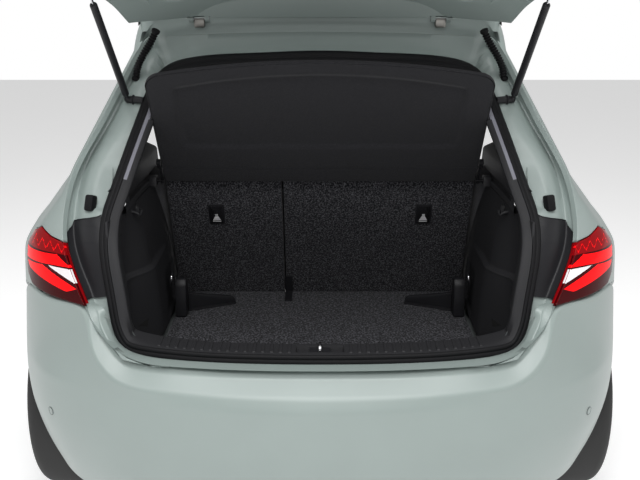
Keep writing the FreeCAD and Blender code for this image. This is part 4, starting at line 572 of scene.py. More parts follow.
CUT_BACK, DITCH_X, TOP_LIMIT, FRONT_S = -0.200, 0.500, -0.496, 0.9995
SILL_LOW, CUT_TOP, SKIN_TOP = 0.212, 1.341, 1.478
LAMP_GAP, BUMPER_GAP, BUMPER_FRONT = 0.002, 0.004, -0.520
lamp_outline = np.array(along(LAMP + LAMP[:1], 160, False))[:-1]
door_outline = along(DOOR, 80)
bumper_line = along(BUMPER_TOP, 120, False)
door_area = np.vstack([door_outline, [(0.06, 0.33), (0.06, 1.361)]])
below_bumper = np.vstack([bumper_line, [(1.0, 0.45), (1.0, 0.0), (0.0, 0.0), (0.0, 0.64)]])


def off_edge(outline, distance):
    """The outline moved outwards by a distance."""
    step = np.roll(outline, -1, 0) - np.roll(outline, 1, 0)
    out = np.stack([step[:, 1], -step[:, 0]], 1)
    out /= np.maximum(np.linalg.norm(out, axis=1, keepdims=True), 1e-9)
    x, h = outline[:, 0], outline[:, 1]
    turning = np.sum(x * np.roll(h, -1) - np.roll(x, -1) * h)
    return outline + out * distance * (1 if turning > 0 else -1)


def closed_at(half, top, low):
    """A half outline closed just past the centre line."""
    return np.vstack([half, [(-0.1, top), (-0.1, low)]])


def pulled(half, distance):
    """A half outline moved by a distance, with its ends back on the centre line."""
    half = off_edge(half, distance)[1:-1]
    return np.vstack([[(0.0, half[0, 1])], half, [(0.0, half[-1, 1])]])


def surface_h(x, target, y=None):
    """The height on the uncut skin whose softened height is the target."""
    height = np.array(target, float)
    for _ in range(25):
        s = side_s(height, x=x) if y is None else side_s(height, y=y)
        height = height + 0.7 * (target - side_skin(s, height)[..., 2])
    return np.clip(height, 0.2, SKIN_TOP)


def on_side(s, h):
    p = side_skin(s, h)
    x, y, z = p[..., 0], p[..., 1], p[..., 2]
    gone = within(edge_area, x, z) & (y < TOP_LIMIT)
    gone |= within(off_edge(lamp_outline, LAMP_GAP), x, z) & (y < -0.6)
    gone |= within(below_bumper, x, z - BUMPER_GAP) & (y < BUMPER_FRONT)
    gone |= (np.hypot(y - AXLE_Y, z - AXLE_H) < ARCH_R)
    gone |= (abs(y - AXLE_Y) < ARCH_R) & (z < AXLE_H)
    gone |= within(door_area, y, z) | (y > -0.001) | (z < SILL_LOW)
    gone |= (z > CUT_TOP) & (y > CUT_BACK)
    gone |= (x < DITCH_X) & (y > TOP_LIMIT)
    return ~gone


def by_x(curve, shift=0.0):
    """A curve of (x, height) in the skin's own coordinates."""
    h = curve[:, 1] + shift
    return np.stack([side_s(h, x=curve[:, 0]), h], 1)


def by_y(curve):
    """The same for a curve of (y, height)."""
    return np.stack([side_s(curve[:, 1], y=curve[:, 0]), curve[:, 1]], 1)


def at_top(curve):
    """The same for a curve of (x, height) that climbs on to the roof."""
    h = surface_h(curve[:, 0], curve[:, 1])
    return np.stack([side_s(h, x=curve[:, 0]), h], 1)


edge_area = closed_at(edge_curve, 1.47, 0.64)
turn = np.linspace(0, math.pi, 120)
arch = np.stack([AXLE_Y + ARCH_R * np.cos(turn), AXLE_H + ARCH_R * np.sin(turn)], 1)
arch = np.vstack([[(AXLE_Y + ARCH_R, 0.2)], arch, [(AXLE_Y - ARCH_R, 0.2)]])
heights = np.linspace(1.30, SKIN_TOP, 60)
lamp_ring = off_edge(lamp_outline, LAMP_GAP)
side_curves = [
    at_top(edge_curve[(edge_curve[:, 0] > 0.40) & (edge_curve[:, 1] > 0.70)]),
    by_x(np.vstack([lamp_ring, lamp_ring[:1]])),
    by_x(bumper_line, BUMPER_GAP),
    by_y(arch),
    by_y(door_outline),
    np.stack([side_s(heights, x=DITCH_X), heights], 1),
    np.stack([side_s(heights, y=TOP_LIMIT), heights], 1),
    np.stack([side_s(heights, y=CUT_BACK), heights], 1),
    np.array([(0.0, SKIN_TOP), (1.0, SKIN_TOP)]),
    np.array([(0.0, SILL_LOW), (1.0, SILL_LOW)]),
    np.array([(FRONT_S, 0.2), (FRONT_S, 1.36)]),
    np.array([(side_s(CUT_TOP, y=-0.26), CUT_TOP), (1.0, CUT_TOP)]),
]
body_side = panel(side_skin, side_curves, on_side, np.linspace(0.2, 0.998, 100),
                  np.linspace(0.22, 1.475, 110), depth=0.014, keep=0.005)
pair("body_side", body_side, paint, slot="body_paint")
print("body side faces:", len(body_side[1]))

# %% [markdown]
# ## Roof
# The roof is a second panel between two black channels, the way most roofs are joined to the sides.

# %% Roof
roof_x = np.linspace(-0.495, 0.495, 61)
roof_y = np.linspace(TOP_LIMIT + 0.002, CUT_BACK, 24)
roof_rows = [[(x, y, roof_h(x, y)) for x in roof_x] for y in roof_y]
roof_points, roof_faces = grid(roof_rows)
roof_up = normals_of(lambda u, v: np.stack([u, v, roof_h(u, v)], -1), roof_points[:, 0],
                     roof_points[:, 1])
add("roof_skin", rolled(roof_points, roof_up, roof_faces, 0.003, 0.030), paint, slot="body_paint")
CHANNEL_X, CHANNEL_DEPTH = 0.4975, 0.004
ditch = [[(CHANNEL_X + dx, y, roof_h(CHANNEL_X, y) - CHANNEL_DEPTH - dz) for dx, dz in
          ((-0.004, 0.01), (-0.003, 0), (0.003, 0), (0.004, 0.01))] for y in roof_y]
pair("roof_channel", grid(ditch), rubber, slot="seal_rubber")

# %% [markdown]
# ## The gutter round the opening
# Rain that gets past the tailgate runs down a gutter. It is one strip: each cross-section leaves
# the painted edge, drops behind it and crosses to the seal. Matching each edge point to its nearest
# seal point keeps the strip square round the corners.

# %% Gutter
def gutter_rows(first, last, raise_by=0.0, tuck=0.0):
    rows = []
    for i in range(first, last):
        ex, eh = edge_curve[i]
        sx, sh = seal_curve[match[i]]
        roof_share = top_share[i]
        skin_point = np.array((ex, skin_y(ex, min(eh, 1.40)), eh))
        roof_point = np.array((ex, TOP_LIMIT, roof_h(ex, TOP_LIMIT)))
        a = skin_point * (1 - roof_share) + roof_point * roof_share
        b = np.array((sx, skin_y(sx, sh, GUTTER - 0.0005), sh))
        deep = np.array((0, 1 - roof_share, -roof_share))
        deep = deep / np.linalg.norm(deep)
        flat = (b - a) - deep * np.dot(b - a, deep)
        room = np.linalg.norm(flat)
        flat = flat / max(room, 1e-6)
        total = np.dot(b - a, deep)
        share = min(1.0, room / 0.060)
        path = [(0.0005, 0.001), (0.001, 0.004), (0.0025, 0.014), (0.005, 0.024), (0.009, 0.033),
                (0.0145, 0.0395), (0.0165, 0.0435), (0.021, 0.0442)]
        path = [(o * share, d) for o, d in path]
        start, low = path[-1]
        for t in (0.15, 0.35, 0.6, 0.85, 1.0):
            path.append((start + (room - start) * t, low + (total - low) * (1 - (1 - t) ** 2)))
        row = [a + flat * (o + tuck) + deep * (max(d - raise_by, 0.0005)) for o, d in path]
        if not raise_by:
            row.append(b - deep * 0.001 + flat * 0.012)
        rows.append(row)
    return rows


nearest = [int(np.argmin(np.hypot(*(seal_curve - e).T))) for e in edge_curve]
nearest = np.maximum.accumulate(nearest)
kernel = np.ones(21) / 21
padded = np.r_[2 * nearest[0] - nearest[10:0:-1], nearest, 2 * nearest[-1] - nearest[-2:-12:-1]]
match = np.clip(np.round(np.convolve(padded, kernel, "valid")).astype(int), 0,
                EDGE_STEPS - 1)
top_share = soft_step(edge_curve[:, 1], 1.345, 1.400)
gutter = grid(gutter_rows(0, EDGE_STEPS))
pair("gutter", gutter, paint, angle=50, slot="body_paint")
print("gutter rows:", EDGE_STEPS, "matched from", match[0], "to", match[-1])

# %% [markdown]
# ## The rubber seal
# A bulb seal is pushed on to the flange round the opening. It is one cross-section carried along
# the seal curve; two ridges catch the light the way a soft hollow seal does.

# %% Seal
SEAL_SECTION = [(-0.013, 0.0535), (-0.0135, 0.050), (-0.012, 0.0465), (-0.009, 0.0445),
                (-0.0055, 0.0442), (-0.003, 0.0462), (-0.0015, 0.0468), (0.001, 0.0452),
                (0.005, 0.0435), (0.009, 0.0442), (0.012, 0.0475), (0.0125, 0.0515),
                (0.011, 0.0542)]


def outward_of(curve):
    step = np.gradient(curve, axis=0)
    out = np.stack([step[:, 1], -step[:, 0]], 1)
    return out / np.linalg.norm(out, axis=1, keepdims=True)


def swept(curve, section, place):
    """A section of (outward, depth) carried along a closed or open flat curve."""
    rows = []
    for (x, h), (ox, oh) in zip(curve, outward_of(curve)):
        rows.append([place(x + ox * o, h + oh * o, d) for o, d in section])
    return rows


def in_skin(x, h, depth):
    return x, float(skin_y(x, h, depth)), h


whole_seal = np.vstack([(seal_curve * (-1, 1))[:0:-1], seal_curve])
out = outward_of(whole_seal)
seal_line = whole_seal - out * 0.012
seal_rows = swept(seal_line, SEAL_SECTION, in_skin)
add("aperture_seal_bulb", grid(seal_rows, closed_rows=True, closed_columns=True), rubber,
    angle=50, stands_for=("aperture_seal",), slot="seal_rubber")
print("seal sections:", len(seal_rows))

# %% [markdown]
# ## Tail lamps
# A lamp is one glossy lens over coloured chambers. The zones are drawn on the skin like the panel's
# edges, and each small face takes the finish of the zone it falls in, so their borders stay crisp.

# %% Tail lamps
WEDGE_UP = [(0.784, 0.846), (0.6672, 0.867), (0.6195, 0.8459), (0.6752, 0.8394), (0.784, 0.8195)]
WEDGE_LOW = [(0.782, 0.8130), (0.715, 0.8287), (0.6033, 0.7982), (0.6365, 0.7833),
             (0.7068, 0.7923), (0.770, 0.800)]
WEDGE_WHITE = [(0.6967, 0.8332), (0.6159, 0.8421), (0.6012, 0.8080)]
BAND_LINE = [(0.80, 0.8500), (0.6672, 0.8700), (0.60, 0.8740)]
ZIGZAG = [(0.640, 0.893), (0.650, 0.875), (0.663, 0.893), (0.676, 0.874), (0.690, 0.893),
          (0.704, 0.871), (0.718, 0.891), (0.733, 0.868), (0.746, 0.888), (0.760, 0.864)]


def lens(s, h):
    return side_skin(s, h, -0.0015)


def on_lens(s, h):
    p = lens(s, h)
    return covers(lamp_outline, p) & ~covers(edge_area, p)


def in_s(curve, closed=True):
    curve = np.array(curve, float)
    if closed:
        curve = np.vstack([curve, curve[:1]])
    fine = along(curve, max(8, int(len(curve) * 6)), False)
    return np.stack([side_s(fine[:, 1], x=fine[:, 0]), fine[:, 1]], 1)


ribbon = np.vstack([np.array(ZIGZAG) + (0, 0.0016), (np.array(ZIGZAG) - (0, 0.0016))[::-1]])
lamp_curves = [in_s(lamp_outline), side_curves[0], in_s(WEDGE_UP), in_s(WEDGE_LOW),
               in_s(WEDGE_WHITE), in_s(BAND_LINE, False), in_s(ribbon)]
lamp_face = panel(lens, lamp_curves, on_lens, np.linspace(0.36, 0.76, 70),
                  np.linspace(0.75, 0.92, 44), radius=0.002, depth=0.010, keep=0.0015)
lamp_zones = [(bright_red, WEDGE_UP), (bright_red, WEDGE_LOW), (white_lens, WEDGE_WHITE),
              (bright_red, ribbon)]


def tint(piece, zones, flip=1):
    mesh = piece.data
    for material, _ in zones:
        if material.name not in mesh.materials:
            mesh.materials.append(material)
    for polygon in mesh.polygons:
        x, y, z = polygon.center
        for material, area in zones:
            if within(area, np.array([x * flip]), np.array([z + ROAD]))[0]:
                polygon.material_index = mesh.materials.find(material.name)


band_area = BAND_LINE + [(0.60, 0.95), (0.80, 0.95)]
for side, shape, flip in (("right", lamp_face, 1), ("left", flipped(lamp_face), -1)):
    piece = add("lamp_lens_" + side, shape, dark_red, slot="lamp_red",
                stands_for=("tail_lamps",) if side == "right" else ())
    tint(piece, [(red_lens, band_area)] + lamp_zones, flip)
print("lamp faces:", len(lamp_face[1]))

# %% [markdown]
# ## Covers beside the lamps
# A black cover hides the lamp's screws. It follows the gutter two millimetres proud of it, so it is
# made from the same rows, between a lower and an upper edge that climb towards the seal.

# %% Lamp covers and bump stops
def strip_between(raise_by, low_e, high_e, low_s, high_s, first, last, count=40, tuck=0.0):
    rows = np.array(gutter_rows(20, 200, raise_by, tuck))[:, first:last]
    edge_h = edge_curve[20:200, 1]
    seal_h = seal_curve[match[20:200], 1]
    low_index = (np.interp(low_e, edge_h, range(180)), np.interp(low_s, seal_h, range(180)))
    high_index = (np.interp(high_e, edge_h, range(180)), np.interp(high_s, seal_h, range(180)))
    columns = []
    for j in range(rows.shape[1]):
        t = j / (rows.shape[1] - 1)
        spots = np.linspace(low_index[0] * (1 - t) + low_index[1] * t,
                            high_index[0] * (1 - t) + high_index[1] * t, count)
        columns.append(np.stack([np.interp(spots, range(180), rows[:, j, k]) for k in range(3)], 1))
    return np.array(columns).transpose(1, 0, 2)


def grid_normals(rows):
    rows = np.array(rows, float)
    normal = np.cross(np.gradient(rows, axis=1), np.gradient(rows, axis=0))
    length = np.maximum(np.linalg.norm(normal, axis=2, keepdims=True), 1e-12)
    return (normal / length).reshape(-1, 3)


def skinned(rows, radius=0.0015, depth=0.003, flip=False):
    """A grid of rows with exact normals and rolled edges."""
    rows = np.array(rows, float)
    if flip:
        rows = rows[::-1]
    points, faces = grid(rows)
    return rolled(points, grid_normals(rows), faces, radius, depth)


cover_rows = strip_between(0.003, 0.7665, 0.9150, 0.7720, 0.9540, 3, 13)
pair("lamp_cover", skinned(cover_rows), soft_black, stands_for=("lamp_covers",),
     slot="black_plastic")
wall_rows = strip_between(0.0012, 0.7670, 0.8960, 0.7720, 0.8960, 0, 4)
pair("lamp_inner_wall", skinned(wall_rows, 0.0003, 0.001), red_lens, slot="lamp_red")
stop_x, stop_h = 0.5865, 0.9760
stop_y = float(skin_y(stop_x, stop_h, 0.046))
stop = slab(oblong(0.012, -0.021, 0.021), (stop_x, stop_y, stop_h), (0.93, 0.37, 0),
            (-0.12, 0.3, 0.95), 0.024, 0.004, 0.007)
pair("bump_stop", stop, rubber, stands_for=("bump_stops",), slot="seal_rubber")
print("cover rows:", len(cover_rows))

# %% [markdown]
# ## Bumper
# The bumper's cross-section changes slowly from the middle of the car to the wheel arch. Ten
# sections are joined by smooth curves, with a shelf on top, two creases and a rounded belly.

# %% Bumper
SECTIONS = [
    ((0.0, 1.0645, 0.638), (0.0, 1.140, 0.588), (0.0, 1.155, 0.562),
     (0.0, 1.155, 0.420), (0.0, 1.100, 0.240)),
    ((0.250, 1.058, 0.6387), (0.250, 1.129, 0.589), (0.250, 1.139, 0.562),
     (0.250, 1.139, 0.420), (0.250, 1.0845, 0.240)),
    ((0.400, 1.0425, 0.644), (0.380, 1.1123, 0.592), (0.400, 1.111, 0.5607),
     (0.400, 1.111, 0.420), (0.390, 1.0568, 0.240)),
    ((0.485, 1.0125, 0.6555), (0.480, 1.0869, 0.603), (0.520, 1.0672, 0.560),
     (0.520, 1.0672, 0.420), (0.500, 1.0152, 0.240)),
    ((0.517, 0.9898, 0.6993), (0.5358, 1.0534, 0.635), (0.610, 1.0141, 0.5592),
     (0.610, 1.0141, 0.420), (0.580, 0.965, 0.240)),
    ((0.532, 0.972, 0.7344), (0.565, 1.0176, 0.690), (0.675, 0.961, 0.5577),
     (0.675, 0.962, 0.420), (0.640, 0.9148, 0.240)),
    ((0.5465, 0.958, 0.7577), (0.5945, 0.9667, 0.7534), (0.725, 0.9044, 0.557),
     (0.725, 0.9055, 0.420), (0.685, 0.858, 0.240)),
    ((0.6426, 0.8605, 0.7519), (0.680, 0.8974, 0.7519), (0.765, 0.8385, 0.5563),
     (0.765, 0.8408, 0.420), (0.720, 0.797, 0.240)),
    ((0.735, 0.7554, 0.7475), (0.770, 0.7796, 0.7475), (0.8055, 0.7508, 0.5563),
     (0.8055, 0.7508, 0.420), (0.7565, 0.7277, 0.250)),
    ((0.810, 0.5995, 0.6555), (0.8437, 0.5995, 0.6555), (0.8517, 0.5995, 0.5563),
     (0.8517, 0.5995, 0.420), (0.8144, 0.5995, 0.250))]


def softened(points, radii):
    """An open line with each corner rounded by its own radius."""
    points = [np.array(p, float) for p in points]
    corners = zip(points, points[1:], points[2:], radii)
    return np.array(points[:1] + [p for four in corners for p in rounding(*four)] + points[-1:])


table = np.array(SECTIONS) * (1, -1, 1)
table = np.concatenate([table[:0:-1] * (-1, 1, 1), table])
run = distances(table[:, 2])
run -= run[len(run) // 2]
lines = [[natural(run, table[:, k, c]) for c in range(3)] for k in range(5)]


def bumper_section(t):
    lip, crease, side, belly, hem = [np.array([f(t) for f in line]) for line in lines]
    step_out = (side - np.array([f(t - 0.01) for f in lines[2]])) * (1, 1, 0)
    outward = np.array((step_out[1], -step_out[0], 0)) / max(np.linalg.norm(step_out), 1e-9)
    run_out, fall = (crease - lip) * (1, 1, 0), (crease - lip) * (0, 0, 1)
    edge = lip + run_out * 0.36 + fall * 0.08
    step_down = lip + run_out * 0.42 + fall * 0.32
    chest = (side + belly) / 2 + outward * 0.004
    skirt = (belly + hem) / 2 + outward * 0.008
    return softened([lip - (0, 0, 0.012), lip, edge, step_down, crease, side, chest, belly, skirt,
                     hem, hem - outward * 0.02],
                    [0.003, 0.005, 0.006, 0.010, 0.012, 0.05, 0.06, 0.07, 0.006])


def in_arch(p):
    y, z = p[..., 1] - AXLE_Y, p[..., 2] - AXLE_H
    return (np.hypot(y, z) < ARCH_R) | ((abs(y) < ARCH_R) & (z < 0))


spots = np.linspace(0, run[-1], 301)
fine_sections = np.array([bumper_section(t) for t in spots])
ends = []
for k in range(fine_sections.shape[1]):
    hit = in_arch(fine_sections[:, k])
    ends.append(spots[np.argmax(hit)] if hit.any() else run[-1])
fraction = np.linspace(0, 1, 91)
columns = []
for k, end in enumerate(ends):
    start = 0.75 * run[-1]
    late = start + (fraction - 0.75) * 4 * (end - start)
    places = np.where(fraction < 0.75, fraction * run[-1], late)
    column = [np.interp(places, spots, fine_sections[:, k, c]) for c in range(3)]
    columns.append(np.stack(column, 1))
right_half = np.array(columns)
both_halves = np.concatenate([right_half[:, :0:-1] * (-1, 1, 1), right_half], axis=1)
bumper_shape = skinned(both_halves[::-1], 0.001, 0.004)
add("bumper_skin", bumper_shape, bumper_paint, stands_for=("rear_bumper",), slot="bumper_paint")
spot = np.array((0.692, -0.9405, 0.4630))
near = np.argmin(np.linalg.norm(bumper_shape[0] - spot, axis=1))
spot, facing = np.array(bumper_shape[0][near]), np.array(bumper_shape[2][near])
disc = lathe([(-0.004, 0.0105), (0.0006, 0.0105), (0.0008, 0.0095), (0.0003, 0.0088),
              (0.0012, 0.0080), (0.0016, 0.0)], spot, facing, 32)
pair("parking_sensor", disc, bumper_paint, slot="bumper_paint")
ring = lathe([(0.0003, 0.0115), (0.0009, 0.0112), (0.0009, 0.0104), (0.0002, 0.0102)], spot,
             facing, 32)
pair("parking_sensor_ring", ring, soft_black, slot="black_plastic")
print("bumper faces:", len(bumper_shape[1]), "sensor at", np.round(spot, 3))

# %% [markdown]
# ## Trim inside the seal
# One moulding runs round the opening just inside the seal. Along the bottom it widens into a sill
# with grip ribs and a pocket for the latch; up the sides it narrows to a lip.

# %% Aperture trim
SILL_PART = [(-0.013, 0.0500, 0, 0), (-0.0140, 0.0520, 0, 0), (-0.0145, 0.0580, 0, 0),
             (-0.0145, 0.0600, 1, 0), (-0.0145, 0.0640, 1, 0), (-0.0145, 0.0660, 1, 1),
             (-0.0145, 0.0850, 1, 1), (-0.0145, 0.1040, 1, 1), (-0.0145, 0.1060, 1, 0),
             (-0.0145, 0.1120, 1, 0), (-0.0145, 0.1135, 0, 0), (-0.0140, 0.1160, 0, 0),
             (-0.0110, 0.1190, 0, 0), (0.0400, 0.1210, 0, 0), (0.1020, 0.1220, 0, 0)]
SIDE_PART = [(-0.013, 0.0500), (-0.0145, 0.0510), (-0.0180, 0.0530), (-0.0215, 0.0550),
             (-0.0250, 0.0570), (-0.0280, 0.0590), (-0.0310, 0.0610), (-0.0345, 0.0640),
             (-0.0365, 0.0660), (-0.0375, 0.0690), (-0.0380, 0.0720), (-0.0375, 0.0760),
             (-0.0360, 0.0820), (-0.0320, 0.0950), (-0.0280, 0.1150)]
RIB_PITCH, RIBS_FROM, RIBS_TO, POCKET_TO = 0.0215, 0.066, 0.43, 0.058


def trim_columns():
    stops = [0.0, 0.0565, 0.0595]
    for k in range(19):
        middle = (k + 0.5) * RIB_PITCH
        if middle > RIBS_FROM:
            stops += [middle - 0.004, middle - 0.003, middle + 0.003, middle + 0.004]
    stops = [s for s in stops if s < RIBS_TO] + list(np.linspace(0.432, 1.02, 110))
    return np.array(stops)


stops = trim_columns()
centre_line, outward = seal_line[EDGE_STEPS - 1:], out[EDGE_STEPS - 1:]
length = distances(centre_line)
trim_rows = []
for s in stops:
    x, h = [np.interp(s, length, centre_line[:, c]) for c in range(2)]
    ox, oh = [np.interp(s, length, outward[:, c]) for c in range(2)]
    side_share = soft_step(s, 0.40, 0.56)
    k = (s / RIB_PITCH) % 1
    rib = 0.0022 if RIBS_FROM < s < RIBS_TO and 0.33 < k < 0.67 else 0.0
    pocket = 0.012 if s < POCKET_TO else 0.0
    row = []
    for (o, d, ribbed, sunk), (so, sd) in zip(SILL_PART, SIDE_PART):
        o = o - rib * ribbed + pocket * sunk
        o, d = o * (1 - side_share) + so * side_share, d * (1 - side_share) + sd * side_share
        row.append(in_skin(x + ox * o, h + oh * o, d))
    trim_rows.append(row)
trim_shape = grid(trim_rows)
trim_both = joined(trim_shape, flipped(trim_shape))
add("aperture_trim", trim_both, black_grain, angle=30, stands_for=("sill_trim",),
    slot="black_plastic")
print("trim columns:", len(stops))

# %% [markdown]
# ## Trim at the sides of the luggage space
# The lining is one moulded shell. Its plan line is known at three heights; between them it is
# interpolated, and a field of small offsets adds the wheelhouse bulge, the shoulder and the niches.

# %% Side trims
TRIM_LEVELS = [(0.535, [(0.458, 0.289), (0.445, 0.450), (0.445, 0.660), (0.500, 0.740),
                        (0.530, 0.770), (0.530, 0.901), (0.515, 0.959), (0.508, 1.0025)]),
               (0.700, [(0.462, 0.289), (0.452, 0.450), (0.455, 0.660), (0.500, 0.730),
                        (0.520, 0.760), (0.520, 0.884), (0.515, 0.924), (0.512, 0.9587)]),
               (0.950, [(0.478, 0.289), (0.485, 0.450), (0.490, 0.660), (0.500, 0.730),
                        (0.505, 0.767), (0.515, 0.832), (0.520, 0.860), (0.523, 0.880)])]
SHOULDER = [(-0.850, 0.938), (-0.805, 0.929), (-0.688, 0.902), (-0.603, 0.873), (-0.485, 0.831),
            (-0.280, 0.760)]


def trim_offset(y, h):
    """How far the lining moves outwards at a place; negative is towards the middle."""
    line = np.interp(-y, [-p[0] for p in SHOULDER], [p[1] for p in SHOULDER])
    fade = soft_step(-y, 0.42, 0.58)
    move = 0.011 * soft_step(h - line, -0.001, 0.007) * fade
    move -= 0.0025 * np.exp(-((h - line) / 0.004) ** 2) * fade
    move -= 0.010 * np.exp(-((y + 0.705) / 0.045) ** 2 - ((h - 0.745) / 0.13) ** 2)
    move += 0.006 * soft_step(-np.hypot(y + 0.668, (h - 0.9285) * 1.0), -0.0155, -0.012)
    niche = soft_step(y, -0.545, -0.535) * soft_step(-y, 0.365, 0.385) * soft_step(h, 0.560, 0.568)
    return move + 0.010 * niche * soft_step(-h, -0.700, -0.690)


def trim_line(h):
    low, mid, top = [np.array(points) for _, points in TRIM_LEVELS]
    a, b, c = [level for level, _ in TRIM_LEVELS]
    weights = ((h - b) * (h - c) / ((a - b) * (a - c)), (h - a) * (h - c) / ((b - a) * (b - c)),
               (h - a) * (h - b) / ((c - a) * (c - b)))
    line = along(low * weights[0] + mid * weights[1] + top * weights[2], 260, False)
    core = np.ones(13) / 13
    for _ in range(2):
        padded = np.vstack([2 * line[0] - line[6:0:-1], line, 2 * line[-1] - line[-2:-8:-1]])
        line = np.stack([np.convolve(padded[:, k], core, "valid") for k in range(2)], 1)
    return line * (1, -1)


def trim_x(y, h):
    line = trim_line(h)
    return float(np.interp(-y, -line[:, 1], line[:, 0])) + float(trim_offset(y, h))


def trim_point(y, h, proud=0.0):
    return np.array((trim_x(y, h) - proud, y, h))


rows = []
for h in np.concatenate([np.linspace(0.551, 0.86, 78), np.linspace(0.863, 0.950, 60)]):
    line = trim_line(h)
    rows.append([(x + trim_offset(y, h), y, h) for x, y in line])
side_wall = skinned(rows, 0.002, 0.006)
pair("side_trim", side_wall, black_grain, stands_for=("side_trim_SIDE",), slot="black_plastic")


def mark(name, corners, material=None, proud=0.0008):
    """A small flat patch of painted shade for an opening in the side lining, by its (y, height)
    corners.
    """
    points = [trim_point(y, h, proud) for y, h in corners]
    middle = np.mean(points, axis=0)
    faces = [(i, (i + 1) % len(points), len(points)) for i in range(len(points))]
    pair(name, (points + [middle], faces), material or painted_hole_shade)


# The marks below are near-black flat patches: painted shade where the lining has a slot, a hole, a
# grip and a notch.
painted_hole_shade = finish("deep_shadow", (0.003, 0.003, 0.003), 0.9, mottle=0.1)
mark("trim_slot_shade", [(-0.366, 0.873), (-0.384, 0.859), (-0.386, 0.856), (-0.372, 0.870)])
mark("trim_hole_shade", [(-0.752 + 0.004 * math.cos(t), 0.934 + 0.004 * math.sin(t))
                   for t in np.linspace(0, 6, 10)])
mark("trim_grip_shade", [(-0.815, 0.9118), (-0.785, 0.887), (-0.818, 0.8890)])
mark("trim_notch_shade", [(-0.737, 0.612), (-0.7065, 0.6244), (-0.712, 0.600)])
print("side trim faces:", len(side_wall[1]))

# %% [markdown]
# ## Ledges for the parcel shelf
# Above the lining a deeper moulding carries the shelf: a rim below, a dark slot that takes the
# shelf's edge, and a block above whose top slopes up to the pillar.

# %% Shelf ledges
def ledge_row(y):
    inner = 0.488 + 0.013 * float(soft_step(-y, 0.40, 0.74))
    top = 1.036 - 0.078 * float(soft_step(-y, 0.69, 0.80))
    slot = 0.014 * (1 - float(soft_step(-y, 0.715, 0.755)))
    face = max(top, 0.992)
    wall = float(np.interp(-y, [0.2, 0.5, 0.7, 0.82], [0.582, 0.570, 0.550, 0.530]))
    return [(inner + 0.022, y, 0.948), (inner + 0.004, y, 0.9495), (inner, y, 0.953),
            (inner, y, 0.964), (inner + 0.002, y, 0.967), (inner + slot * 0.9, y, 0.9675),
            (inner + slot, y, 0.969), (inner + slot, y, 0.983),
            (inner + 0.003 + slot * 0.1, y, 0.9845), (inner + 0.001, y, 0.988),
            (inner + 0.004, y, face - 0.006), (inner + 0.007, y, face),
            (inner + 0.014, y, face + 0.004), (inner + 0.045, y, face + 0.018),
            (wall, y, face + 0.026)]


ledge = grid([ledge_row(y) for y in np.linspace(-0.345, -0.802, 80)])
pair("shelf_ledge", ledge, black_grain, angle=35, slot="black_plastic")
strip_rows = []
for (x, h), (ox, oh) in zip(centre_line[seal_curve[:, 1] > 1.040],
                            outward[seal_curve[:, 1] > 1.040]):
    strip_rows.append([in_skin(x + ox * o, h + oh * o, d) for o, d in
                       ((-0.0130, 0.0500), (-0.0160, 0.0515), (-0.0215, 0.0545), (-0.0250, 0.0580),
                        (-0.0262, 0.0630), (-0.0262, 0.0800))])
pair("pillar_strip", grid(strip_rows), grey_trim, angle=35, slot="grey_trim")
print("ledge and strip ready")

# %% [markdown]
# ## Parcel shelf
# The shelf is felt over board. It is drawn flat, by its distance from the pivot, with a pressed
# panel whose walls slope softly, and then raised by its angle.

# %% Parcel shelf
SHELF_Y, SHELF_H, SHELF_ANGLE = -0.490, 0.965, math.radians(52.4)


def raised(points, direction=False):
    return tilted(points, SHELF_ANGLE) + (0 if direction else np.array((0, SHELF_Y, SHELF_H)))


def shelf_end(x):
    """The shelf's rear edge: a shallow arc with rounded corners."""
    reach = 0.472 - 0.052 * (np.abs(x) / 0.449) ** 2
    corner = np.clip((np.abs(x) - 0.412) / 0.0375, 0, 1)
    return reach - 0.040 * (1 - np.sqrt(1 - corner ** 2))


def press(x, s):
    """Depth of the pressed panel and the fold in the underside."""
    top = 0.437 - 0.050 * (x / 0.385) ** 2
    side = soft_step(-np.abs(x), -0.392, -0.368)
    low, high = soft_step(s, 0.137, 0.160), soft_step(-s, -top, -top + 0.022)
    past = np.hypot(np.maximum(np.abs(x) - 0.352, 0), np.maximum(0.177 - s, 0))
    corner = soft_step(-past, -0.040, -0.018)
    fold = np.exp(-((s - 0.060) / 0.0016) ** 2)
    return 0.0085 * side * low * high * corner + 0.0015 * fold


board_rows, lid_rows = [], []
for t in np.linspace(0, 1, 150):
    xs = np.sin(np.linspace(-math.pi / 2, math.pi / 2, 181)) * 0.25 \
        + np.linspace(-1, 1, 181) * 0.199
    s = t * shelf_end(xs)
    xs = xs * (1 + 0.002 * t)
    board_rows.append(np.stack([xs, -s, -0.006 + press(xs, s)], 1))
    lid_rows.append(np.stack([xs, -s, np.full_like(s, 0.006)], 1))
under, upper_side = skinned(board_rows, 0.004, 0.006), skinned(lid_rows, 0.004, 0.006, flip=True)
if np.mean(np.array(under[2])[:, 2]) > 0:
    under, upper_side = (skinned(board_rows, 0.004, 0.006, flip=True),
                         skinned(lid_rows, 0.004, 0.006))
shelf = joined(*[(raised(p), f, raised(n, True)) for p, f, n in (under, upper_side)])
add("parcel_shelf_felt", shelf, felt, body="shelf", stands_for=("parcel_shelf",), slot="shelf_felt")
clips = [((0.4500, -0.010, -0.010), (0.4600, 0.004, 0.008)),
         ((0.4500, -0.062, -0.009), (0.4570, -0.014, 0.006)),
         ((0.4500, -0.088, -0.010), (0.4620, -0.068, 0.007))]
for i, (low, high) in enumerate(clips):
    points, faces = block(low, high, 0.0015)
    pair("shelf_clip_%d" % i, (raised(points), faces), soft_black, body="shelf")
pin = lathe([(0.0, 0.0048), (0.034, 0.0048), (0.0355, 0.0035), (0.0355, 0.0)], (0.4540, 0, 0))
pair("shelf_pin", (raised(pin[0]), pin[1]), soft_black, body="shelf")
lug = slab([(-0.016, 0), (0.016, 0), (0.016, 0.022), (0.010, 0.0285), (-0.010, 0.0285),
            (-0.016, 0.022)], (0.4705, SHELF_Y, 0.9505), (0, 1, 0), (0, 0, 1), 0.0235, 0.002)
